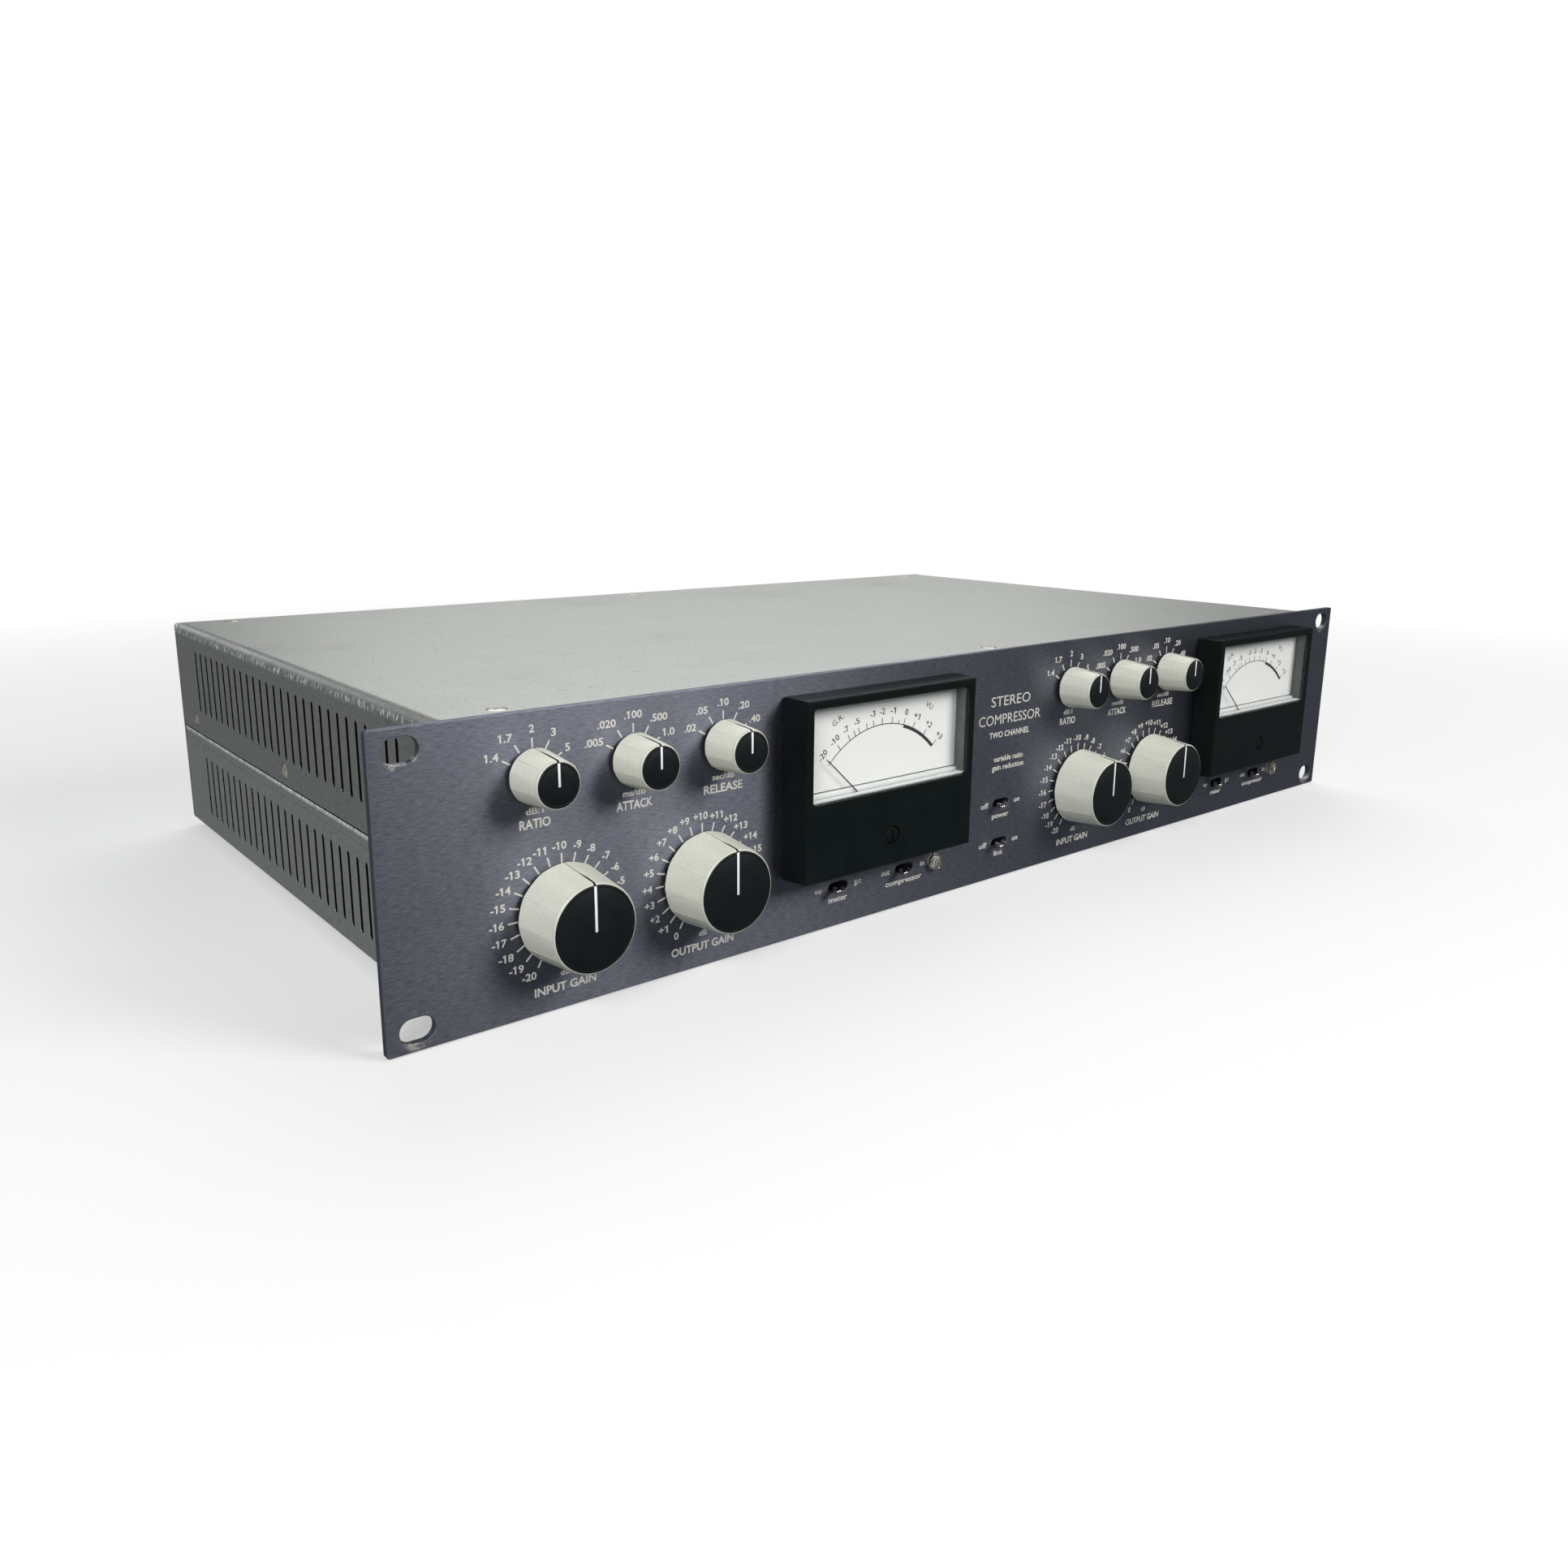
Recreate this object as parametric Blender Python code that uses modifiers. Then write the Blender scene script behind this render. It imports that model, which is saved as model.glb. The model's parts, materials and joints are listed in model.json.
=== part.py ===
"""Two-channel rack compressor, 2U, built as separate pieces.

Metres, +Z up. The front panel faces -Y and +X is to the right seen from the front.
Depths are given from the panel's front face (positive to the rear); heights from its lower edge.
The origin of the finished object is the middle of its base.
"""
import math

import bmesh
import bpy
from mathutils import Matrix

GAP = 0.0003

# front panel, a 19 inch two-unit rack panel
PANEL_W = 0.4826
PANEL_H = 0.0881
PANEL_T = 0.0025
PANEL_CORNER = 0.0014
EAR_X = 0.2221
REBATE = 0.0003
SLOT_X = 0.23255
SLOT_Z = (0.00595, 0.08215)
SLOT_LENGTH = 0.0100
SLOT_HEIGHT = 0.0072

# sheet-metal case behind the panel
CASE_W = 0.4435
CASE_BOTTOM = 0.0028
CASE_TOP = 0.0874
CASE_REAR = 0.2630
CASE_FRONT = 0.0025
SHEET = 0.0012
COVER_BEND = 0.0038
TRAY_BEND = 0.0015
SEAM_Z = 0.0442
LIP_TOP = 0.0530
LIP_ROOT = 0.0420
REAR_T = 0.0015
LOUVRE_COUNT = 28
LOUVRE_W = 0.0019
UPPER_LOUVRE_Y = 0.0293
UPPER_LOUVRE_PITCH = 0.007575
UPPER_LOUVRE_Z = (0.0538, 0.0788)
LOWER_LOUVRE_Y = 0.0288
LOWER_LOUVRE_PITCH = 0.007552
LOWER_LOUVRE_Z = (0.0102, 0.0350)

# controls: the right channel repeats the left one at this distance
CHANNEL_STEP = 0.2334
CHANNELS = (("left", 0.0), ("right", CHANNEL_STEP))
SMALL_KNOBS = (("ratio", -0.1957), ("attack", -0.1634), ("release", -0.1312))
SMALL_KNOB_Z = 0.0701
BIG_KNOBS = (("input", -0.1879), ("output", -0.1393))
BIG_KNOB_Z = 0.0292

# knob sizes: reach from the panel, radii at base and rim, cap radius, sides
KNOB_LIFT = 0.0010
SMALL_REACH = 0.0145
SMALL_BASE_R = 0.0080
SMALL_RIM_R = 0.0069
SMALL_CAP_R = 0.0062
SMALL_SIDES = 18
BIG_REACH = 0.0182
BIG_BASE_R = 0.0149
BIG_RIM_R = 0.0133
BIG_CAP_R = 0.0125
BIG_SIDES = 24
CAP_T = 0.0020
CAP_PROUD = 0.0004
CAP_EDGE = 0.0003
RIM_ROUND = 0.0004
GROOVE_W = 0.0007
GROOVE_DEPTH = 0.0005
SHAFT_R = 0.0030
SHAFT_TAIL = 0.0140
SHAFT_SIDES = 12
BUSH_R = 0.0045
SWITCH_R = 0.0092
SWITCH_SIDES = 12
BOARD_Y = 0.0240
BOARD_T = 0.0016
BOARD_HALF_W = 0.2140
BOARD_Z = (0.0060, 0.0830)

# toggle switches
TOGGLE_PAIR_X = (("meter", -0.0826), ("bypass", -0.0510))
TOGGLE_Z = 0.0137
POWER_Z = 0.0292
TOGGLE_SLOT = (0.0090, 0.0038)
TOGGLE_BODY = (0.0130, 0.0080)
TOGGLE_WELL = (0.0108, 0.0044)
TOGGLE_WELL_END = 0.0135
LEVER_PIVOT_Y = 0.0100
LEVER_LENGTH = 0.0155
LEVER_TILT = 14.0
LEVER_SIDES = 10

# indicator lens
LENS_X = -0.0360
LENS_R = 0.0041
LENS_STEM_R = 0.0030
LENS_SIDES = 14

# meters
METER_X = -0.0681
METER_Z = 0.0519
METER_FACE = (0.0773, 0.0600)
METER_BASE = (0.0795, 0.0606)
METER_REACH = 0.0111
METER_WALL = 0.0020
METER_EDGE = 0.0006
BARREL_ROOT = 0.0018
METER_BARREL_R = 0.0235
METER_BARREL_Z = 0.0500
METER_BARREL_END = 0.0320
BARREL_SIDES = 20
WINDOW_HALF_W = 0.0360
WINDOW_Z = (0.0478, 0.0794)
WINDOW_T = 0.0012
DIAL_Y = -0.0050
DIAL_T = 0.0008
MOVEMENT_Z = 0.0270
NEEDLE_Y = -0.0070
NEEDLE_T = 0.0005
NEEDLE_PIVOT_Z = 0.0362
NEEDLE_REACH = 0.0360
NEEDLE_W = 0.0006
NEEDLE_HUB_R = 0.0022
NEEDLE_REST = -47.0
ZERO_Z = 0.0320
ZERO_R = 0.0028
ZERO_T = 0.0017
ZERO_SLOT = 0.0008

# rear connectors
SOCKET_Z = 0.0450
SOCKET_X = (("xlr_in_left", -0.1550), ("xlr_in_right", -0.1150), ("xlr_out_left", -0.0550),
            ("xlr_out_right", -0.0150))
FLANGE = (0.0260, 0.0310)
FLANGE_T = 0.0020
BARREL_R = 0.0116
BARREL_DEPTH = 0.0200
CUP_R = 0.0093
CUP_DEPTH = 0.0160
PIN_RING_R = 0.0044
PIN_R = 0.0012
PIN_HOLE_R = 0.0016
PIN_TOP = -0.0065
PIN_ANGLES = (35.0, 145.0, 270.0)
INLET_X = 0.1650
INLET_FLANGE = (0.0500, 0.0245)
INLET_FLANGE_T = 0.0021
INLET_BODY = (0.0276, 0.0200)
INLET_DEPTH = 0.0220
INLET_WELL = (0.0246, 0.0166)
INLET_WELL_DEPTH = 0.0160
BLADE = (0.0020, 0.0042)
BLADE_X = 0.0070
BLADE_TOP = -0.0080

# inner pieces
MAIN_BOARD_X = (-0.2000, 0.1000)
MAIN_BOARD_Y = (0.0600, 0.2300)
MAIN_BOARD_Z = 0.0120
PILLAR_R = 0.0030
TOROID_POS = (0.1550, 0.1650)
TOROID_R = 0.0400
TOROID_H = 0.0360

FRONT_MOST = BIG_REACH
REAR_MOST = CASE_REAR + GAP + INLET_FLANGE_T
MID_Y = (REAR_MOST - FRONT_MOST) / 2.0
FACING_FRONT = (math.radians(90.0), 0.0, 0.0)
FACING_REAR = (math.radians(90.0), 0.0, math.radians(180.0))
SMOOTH_ANGLE = math.radians(35.0)


def clear_scene():
    for obj in list(bpy.data.objects):
        bpy.data.objects.remove(obj, do_unlink=True)
    for group in list(bpy.data.collections):
        bpy.data.collections.remove(group)


def new_group(name):
    group = bpy.data.collections.new(name)
    bpy.context.scene.collection.children.link(group)
    return group


clear_scene()
PARTS = new_group("rack_compressor")
CUTTERS = new_group("cutters")


def paint(name, color, metallic, roughness, transmission=0.0):
    material = bpy.data.materials.new(name)
    material.use_nodes = True
    shader = material.node_tree.nodes["Principled BSDF"]
    shader.inputs["Base Color"].default_value = (*color, 1.0)
    shader.inputs["Metallic"].default_value = metallic
    shader.inputs["Roughness"].default_value = roughness
    shader.inputs["Transmission Weight"].default_value = transmission
    return material


ANODISED = paint("anodised_panel", (0.10, 0.11, 0.15), 0.6, 0.4)
ZINC = paint("zinc_steel", (0.42, 0.45, 0.43), 0.8, 0.45)
KNOB_GREY = paint("knob_shell", (0.62, 0.62, 0.57), 0.1, 0.5)
BLACK = paint("black_plastic", (0.02, 0.022, 0.025), 0.0, 0.5)
STEEL = paint("steel", (0.60, 0.60, 0.58), 1.0, 0.3)
CLEAR = paint("clear_window", (0.95, 0.97, 0.97), 0.0, 0.05, 0.95)
LENS = paint("lens", (0.80, 0.80, 0.76), 0.0, 0.1, 0.7)
DIAL = paint("dial_white", (0.88, 0.90, 0.88), 0.0, 0.5)
NEEDLE = paint("needle_black", (0.03, 0.03, 0.03), 0.0, 0.4)
BOARD = paint("circuit_board", (0.05, 0.22, 0.10), 0.0, 0.4)
POTTING = paint("transformer_wrap", (0.12, 0.10, 0.05), 0.0, 0.4)
SOCKET = paint("socket_metal", (0.45, 0.45, 0.44), 0.9, 0.35)


def add_object(name, mesh, group):
    obj = bpy.data.objects.new(name, mesh)
    group.objects.link(obj)
    return obj


def baked(obj):
    """The mesh as its modifiers leave it, welded and facing outwards."""
    depsgraph = bpy.context.evaluated_depsgraph_get()
    mesh = bpy.data.meshes.new_from_object(obj.evaluated_get(depsgraph))
    work = bmesh.new()
    work.from_mesh(mesh)
    bmesh.ops.remove_doubles(work, verts=work.verts, dist=1e-6)
    bmesh.ops.recalc_face_normals(work, faces=work.faces)
    work.to_mesh(mesh)
    work.free()
    return mesh


def combine(target, tool, operation):
    """Boolean of the target with a tool, which is used up."""
    modifier = target.modifiers.new("combine", "BOOLEAN")
    modifier.operation = operation
    modifier.solver = "EXACT"
    modifier.object = tool
    mesh = baked(target)
    target.modifiers.clear()
    target.data = mesh
    bpy.data.objects.remove(tool, do_unlink=True)


def cut(target, tool):
    combine(target, tool, "DIFFERENCE")


def fuse(target, tool):
    combine(target, tool, "UNION")


def finish(obj, material, name=None):
    """Name, material and shading of a piece, which then joins the object's collection."""
    if name:
        obj.name = name
        obj.data.name = name
    obj.data.materials.clear()
    obj.data.materials.append(material)
    obj.data.shade_smooth()
    obj.data.set_sharp_from_angle(angle=SMOOTH_ANGLE)
    if obj.name in CUTTERS.objects:
        CUTTERS.objects.unlink(obj)
        PARTS.objects.link(obj)
    return obj


def copy_of(obj, name, location):
    twin = add_object(name, obj.data, PARTS)
    twin.location = location
    twin.rotation_euler = obj.rotation_euler
    return twin


def at(x, y, z):
    """World place of a point given from the panel's front face."""
    return (x, y - MID_Y, z)


def box(name, x, y, z):
    """Box between pairs of limits, in its own frame."""
    mesh = bpy.data.meshes.new(name)
    work = bmesh.new()
    size = Matrix.Diagonal((x[1] - x[0], y[1] - y[0], z[1] - z[0], 1.0))
    middle = Matrix.Translation(((x[0] + x[1]) / 2.0, (y[0] + y[1]) / 2.0, (z[0] + z[1]) / 2.0))
    bmesh.ops.create_cube(work, size=1.0, matrix=middle @ size)
    work.to_mesh(mesh)
    work.free()
    return add_object(name, mesh, CUTTERS)


def rod(name, x, y, z, radius, sides):
    """Cylinder along Z between two heights, in its own frame."""
    mesh = bpy.data.meshes.new(name)
    work = bmesh.new()
    middle = Matrix.Translation((x, y, (z[0] + z[1]) / 2.0))
    bmesh.ops.create_cone(work, cap_ends=True, segments=sides, radius1=radius, radius2=radius,
                          depth=z[1] - z[0], matrix=middle)
    work.to_mesh(mesh)
    work.free()
    return add_object(name, mesh, CUTTERS)


def turned(name, profile, sides):
    """Solid turned about Z from (radius, height) points; a profile off the axis closes on itself."""
    edges = [(i, i + 1) for i in range(len(profile) - 1)]
    if profile[0][0] > 0.0:
        edges.append((len(profile) - 1, 0))
    mesh = bpy.data.meshes.new(name)
    mesh.from_pydata([(r, 0.0, z) for r, z in profile], edges, [])
    obj = add_object(name, mesh, CUTTERS)
    screw = obj.modifiers.new("turn", "SCREW")
    screw.steps = sides
    screw.render_steps = sides
    screw.use_merge_vertices = True
    screw.merge_threshold = 1e-5
    mesh = baked(obj)
    obj.modifiers.clear()
    obj.data = mesh
    return obj


def arc(cx, cz, radius, start, end, steps):
    angles = [math.radians(start + (end - start) * i / steps) for i in range(steps + 1)]
    return [(cx + radius * math.cos(a), cz + radius * math.sin(a)) for a in angles]


def circle(cx, cz, radius, sides):
    return arc(cx, cz, radius, 0.0, 360.0, sides)[:-1]


def oblong(cx, cz, length, height, steps):
    """Level slot with round ends."""
    radius = height / 2.0
    reach = length / 2.0 - radius
    right = arc(cx + reach, cz, radius, -90.0, 90.0, steps)
    left = arc(cx - reach, cz, radius, 90.0, 270.0, steps)
    return right + left


def round_rect(x, z, radius, steps):
    points = arc(x[1] - radius, z[0] + radius, radius, -90.0, 0.0, steps)
    points += arc(x[1] - radius, z[1] - radius, radius, 0.0, 90.0, steps)
    points += arc(x[0] + radius, z[1] - radius, radius, 90.0, 180.0, steps)
    points += arc(x[0] + radius, z[0] + radius, radius, 180.0, 270.0, steps)
    return points


def plate(name, outlines, y):
    """Upright sheet between two depths from closed (x, z) outlines; inner outlines are holes."""
    curve = bpy.data.curves.new(name, "CURVE")
    curve.dimensions = "2D"
    curve.fill_mode = "BOTH"
    curve.extrude = (y[1] - y[0]) / 2.0
    for points in outlines:
        spline = curve.splines.new("POLY")
        spline.points.add(len(points) - 1)
        for point, (px, pz) in zip(spline.points, points):
            point.co = (px, pz, 0.0, 1.0)
        spline.use_cyclic_u = True
    flat = add_object(name, curve, CUTTERS)
    mesh = baked(flat)
    mesh.transform(Matrix.Translation((0.0, (y[0] + y[1]) / 2.0, 0.0)) @ Matrix.Rotation(math.pi / 2.0, 4, "X"))
    bpy.data.objects.remove(flat, do_unlink=True)
    return add_object(name, mesh, CUTTERS)


def thin_between_ears(panel):
    """Lowers the panel's back between the ears, over a step as wide as the gap to the case."""
    foot = EAR_X - GAP
    work = bmesh.new()
    work.from_mesh(panel.data)
    for x in (-EAR_X, -foot, foot, EAR_X):
        everything = work.verts[:] + work.edges[:] + work.faces[:]
        bmesh.ops.bisect_plane(work, geom=everything, plane_co=(x, 0.0, 0.0), plane_no=(1.0, 0.0, 0.0))
    for vertex in work.verts:
        if abs(vertex.co.x) < foot + GAP / 2.0 and vertex.co.y > PANEL_T / 2.0:
            vertex.co.y -= REBATE
    bmesh.ops.triangulate(work, faces=work.faces)
    work.to_mesh(panel.data)
    work.free()


def control_places():
    """Name, x, z and size class of every turning control."""
    places = []
    for side, shift in CHANNELS:
        for name, x in SMALL_KNOBS:
            places.append((name + "_" + side, x + shift, SMALL_KNOB_Z, "small"))
        for name, x in BIG_KNOBS:
            places.append((name + "_" + side, x + shift, BIG_KNOB_Z, "big"))
    return places


def toggle_places():
    places = [("power", 0.0, POWER_Z), ("link", 0.0, TOGGLE_Z)]
    for side, shift in CHANNELS:
        for name, x in TOGGLE_PAIR_X:
            places.append((name + "_" + side, x + shift, TOGGLE_Z))
    return places


def build_front_panel():
    outlines = [round_rect((-PANEL_W / 2.0, PANEL_W / 2.0), (0.0, PANEL_H), PANEL_CORNER, 2)]
    for x in (-SLOT_X, SLOT_X):
        for z in SLOT_Z:
            outlines.append(oblong(x, z, SLOT_LENGTH, SLOT_HEIGHT, 6))
    for _, x, z, _ in control_places():
        outlines.append(circle(x, z, BUSH_R + GAP, 12))
    for _, x, z in toggle_places():
        outlines.append(oblong(x, z, TOGGLE_SLOT[0], TOGGLE_SLOT[1], 4))
    for _, shift in CHANNELS:
        outlines.append(circle(METER_X + shift, METER_BARREL_Z, METER_BARREL_R + GAP, BARREL_SIDES))
        outlines.append(circle(LENS_X + shift, TOGGLE_Z, LENS_STEM_R + GAP, 12))
    panel = plate("front_panel", outlines, (0.0, PANEL_T))
    thin_between_ears(panel)
    panel.location = at(0.0, 0.0, 0.0)
    finish(panel, ANODISED)


def louvre_cutter(first_y, pitch, z):
    """Row of upright slots right through both sides of the case."""
    half = CASE_W / 2.0 + 0.005
    tool = box("louvres", (-half, half), (first_y - LOUVRE_W / 2.0, first_y + LOUVRE_W / 2.0), z)
    row = tool.modifiers.new("row", "ARRAY")
    row.count = LOUVRE_COUNT
    row.use_relative_offset = False
    row.use_constant_offset = True
    row.constant_offset_displace = (0.0, pitch, 0.0)
    return tool


def build_top_cover():
    outer = CASE_W / 2.0
    inner = outer - SHEET
    bend = COVER_BEND
    inside = COVER_BEND - SHEET
    low = SEAM_Z + GAP / 2.0
    points = [(-outer, low)]
    points += arc(-outer + bend, CASE_TOP - bend, bend, 180.0, 90.0, 4)
    points += arc(outer - bend, CASE_TOP - bend, bend, 90.0, 0.0, 4)
    points += [(outer, low), (inner, low)]
    points += arc(outer - bend, CASE_TOP - bend, inside, 0.0, 90.0, 4)
    points += arc(-outer + bend, CASE_TOP - bend, inside, 90.0, 180.0, 4)
    points += [(-inner, low)]
    cover = plate("top_cover", [points], (CASE_FRONT, CASE_REAR - REAR_T - GAP))
    cut(cover, louvre_cutter(UPPER_LOUVRE_Y, UPPER_LOUVRE_PITCH, UPPER_LOUVRE_Z))
    cover.location = at(0.0, 0.0, 0.0)
    finish(cover, ZINC)


def build_bottom_tray():
    """Tray with an inner lip that stands behind the lower edge of the cover."""
    outer = CASE_W / 2.0
    inner = outer - SHEET
    lip_out = inner - GAP
    lip_in = lip_out - SHEET
    bend = TRAY_BEND
    inside = TRAY_BEND - SHEET
    high = SEAM_Z - GAP / 2.0
    right = arc(outer - bend, CASE_BOTTOM + bend, bend, -90.0, 0.0, 3)
    right += [(outer, high), (lip_out, high), (lip_out, LIP_TOP), (lip_in, LIP_TOP)]
    right += [(lip_in, LIP_ROOT), (inner, LIP_ROOT)]
    right += arc(outer - bend, CASE_BOTTOM + bend, inside, 0.0, -90.0, 3)
    left = [(-x, z) for x, z in reversed(right)]
    tray = plate("bottom_tray", [right + left], (CASE_FRONT, CASE_REAR - REAR_T - GAP))
    cut(tray, louvre_cutter(LOWER_LOUVRE_Y, LOWER_LOUVRE_PITCH, LOWER_LOUVRE_Z))
    tray.location = at(0.0, 0.0, 0.0)
    finish(tray, ZINC)


def build_rear_panel():
    outer = CASE_W / 2.0
    outlines = [round_rect((-outer, outer), (CASE_BOTTOM, CASE_TOP), TRAY_BEND, 2)]
    for _, x in SOCKET_X:
        outlines.append(circle(x, SOCKET_Z, BARREL_R + GAP, 24))
    half_w = INLET_BODY[0] / 2.0 + GAP
    half_h = INLET_BODY[1] / 2.0 + GAP
    outlines.append(round_rect((INLET_X - half_w, INLET_X + half_w), (SOCKET_Z - half_h, SOCKET_Z + half_h),
                               0.0002, 1))
    rear = plate("rear_panel", outlines, (CASE_REAR - REAR_T, CASE_REAR))
    rear.location = at(0.0, 0.0, 0.0)
    finish(rear, ZINC)


def knob_shell(name, reach, base_r, rim_r, cap_r, sides):
    """Tapered knob with a recess for its cap, a bore and a pointer groove on its top side."""
    front = reach - CAP_PROUD
    floor = reach - CAP_T - GAP
    recess_r = cap_r + GAP
    profile = [(rim_r - RIM_ROUND, front), (rim_r, front - RIM_ROUND), (base_r, KNOB_LIFT + RIM_ROUND),
               (base_r - RIM_ROUND, KNOB_LIFT), (SHAFT_R + GAP, KNOB_LIFT), (SHAFT_R + GAP, floor),
               (recess_r, floor), (recess_r, front)]
    shell = turned(name, profile, sides)
    half = GROOVE_W / 2.0
    slope = math.atan2(base_r - rim_r, reach)
    tool = box("groove", (-half, half), (-GROOVE_DEPTH, GROOVE_DEPTH), (-reach, reach))
    tool.location = (0.0, (base_r + rim_r) / 2.0, (front + KNOB_LIFT) / 2.0)
    tool.rotation_euler = (slope, 0.0, 0.0)
    cut(shell, tool)
    shell.rotation_euler = FACING_FRONT
    return finish(shell, KNOB_GREY)


def knob_cap(name, reach, cap_r, sides):
    back = reach - CAP_T
    profile = [(0.0, reach), (cap_r - CAP_EDGE, reach), (cap_r, reach - CAP_EDGE), (cap_r, back), (0.0, back)]
    cap = turned(name, profile, sides)
    cap.rotation_euler = FACING_FRONT
    return finish(cap, BLACK)


def knob_shaft(name, reach):
    front = reach - CAP_T - GAP
    shaft = rod(name, 0.0, 0.0, (-SHAFT_TAIL, front), SHAFT_R, SHAFT_SIDES)
    shaft.rotation_euler = FACING_FRONT
    return finish(shaft, STEEL)


def build_knobs():
    sizes = {"small": (SMALL_REACH, SMALL_BASE_R, SMALL_RIM_R, SMALL_CAP_R, SMALL_SIDES),
             "big": (BIG_REACH, BIG_BASE_R, BIG_RIM_R, BIG_CAP_R, BIG_SIDES)}
    made = {}
    for label, x, z, size in control_places():
        reach, base_r, rim_r, cap_r, sides = sizes[size]
        names = ("knob_" + label, "cap_" + label, "shaft_" + label)
        if size not in made:
            made[size] = (knob_shell(names[0], reach, base_r, rim_r, cap_r, sides),
                          knob_cap(names[1], reach, cap_r, sides),
                          knob_shaft(names[2], reach))
            for piece in made[size]:
                piece.location = at(x, 0.0, z)
        else:
            for piece, name in zip(made[size], names):
                copy_of(piece, name, at(x, 0.0, z))


def rotary_switch(x, z):
    """Switch can with a threaded bush through the panel and a bore for the shaft."""
    bore = SHAFT_R + GAP
    tail = BOARD_Y + BOARD_T / 2.0
    profile = [(0.0, -SHAFT_TAIL - GAP), (bore, -SHAFT_TAIL - GAP), (bore, KNOB_LIFT - GAP),
               (BUSH_R, KNOB_LIFT - GAP), (BUSH_R, -PANEL_T - GAP), (SWITCH_R, -PANEL_T - GAP),
               (SWITCH_R, -tail), (0.0, -tail)]
    can = turned("switch_can", profile, SWITCH_SIDES)
    can.rotation_euler = FACING_FRONT
    can.location = (x, 0.0, z)
    return can


def build_control_board():
    """One board behind the panel with the ten rotary switches and six toggle bodies soldered to it."""
    outlines = [round_rect((-BOARD_HALF_W, BOARD_HALF_W), BOARD_Z, 0.002, 1)]
    for _, shift in CHANNELS:
        outlines.append(circle(METER_X + shift, METER_BARREL_Z, METER_BARREL_R + 0.0015, 20))
    board = plate("control_board", outlines, (BOARD_Y, BOARD_Y + BOARD_T))
    for _, x, z, _ in control_places():
        fuse(board, rotary_switch(x, z))
    for _, x, z in toggle_places():
        half_w = TOGGLE_BODY[0] / 2.0
        half_h = TOGGLE_BODY[1] / 2.0
        fuse(board, box("toggle_body", (x - half_w, x + half_w), (PANEL_T + GAP, BOARD_Y + BOARD_T / 2.0),
                        (z - half_h, z + half_h)))
        half_w = TOGGLE_WELL[0] / 2.0
        half_h = TOGGLE_WELL[1] / 2.0
        cut(board, box("toggle_well", (x - half_w, x + half_w), (0.0, TOGGLE_WELL_END), (z - half_h, z + half_h)))
    board.location = at(0.0, 0.0, 0.0)
    finish(board, BOARD)


def build_toggles():
    """Bat levers whose origin is their pivot behind the panel, all resting to the left."""
    profile = [(0.0, LEVER_LENGTH), (0.0008, LEVER_LENGTH), (0.0012, LEVER_LENGTH - 0.0004),
               (0.0012, LEVER_LENGTH - 0.0030), (0.0009, 0.0020), (0.0015, 0.0008), (0.0015, -0.0008),
               (0.0008, -0.0016), (0.0, -0.0016)]
    first = None
    for label, x, z in toggle_places():
        name = "toggle_" + label
        place = at(x, LEVER_PIVOT_Y, z)
        if first is None:
            first = turned(name, profile, LEVER_SIDES)
            first.data.transform(Matrix.Rotation(math.pi / 2.0, 4, "X"))
            first.rotation_euler = (0.0, 0.0, -math.radians(LEVER_TILT))
            first.location = place
            finish(first, STEEL)
        else:
            copy_of(first, name, place)


def build_lenses():
    profile = [(0.0, 0.0032), (0.0016, 0.0029), (0.0026, 0.0020), (LENS_R - 0.0006, 0.0018), (LENS_R, 0.0012),
               (LENS_R, GAP), (LENS_STEM_R, GAP), (LENS_STEM_R, -0.0060), (0.0, -0.0060)]
    lens = turned("lens_left", profile, LENS_SIDES)
    lens.rotation_euler = FACING_FRONT
    lens.location = at(LENS_X, 0.0, TOGGLE_Z)
    finish(lens, LENS)
    copy_of(lens, "lens_right", at(LENS_X + CHANNEL_STEP, 0.0, TOGGLE_Z))


def meter_block():
    """Case front with slightly sloping sides and softened front edges."""
    half_w = METER_BASE[0] / 2.0
    half_h = METER_BASE[1] / 2.0
    block = box("meter_case_left", (-half_w, half_w), (-METER_REACH, -GAP), (METER_Z - half_h, METER_Z + half_h))
    for vertex in block.data.vertices:
        if vertex.co.y < -METER_REACH / 2.0:
            vertex.co.x *= METER_FACE[0] / METER_BASE[0]
            vertex.co.z = METER_Z + (vertex.co.z - METER_Z) * METER_FACE[1] / METER_BASE[1]
    soft = block.modifiers.new("edges", "BEVEL")
    soft.width = METER_EDGE
    soft.segments = 1
    block.data = baked(block)
    block.modifiers.clear()
    return block


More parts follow.
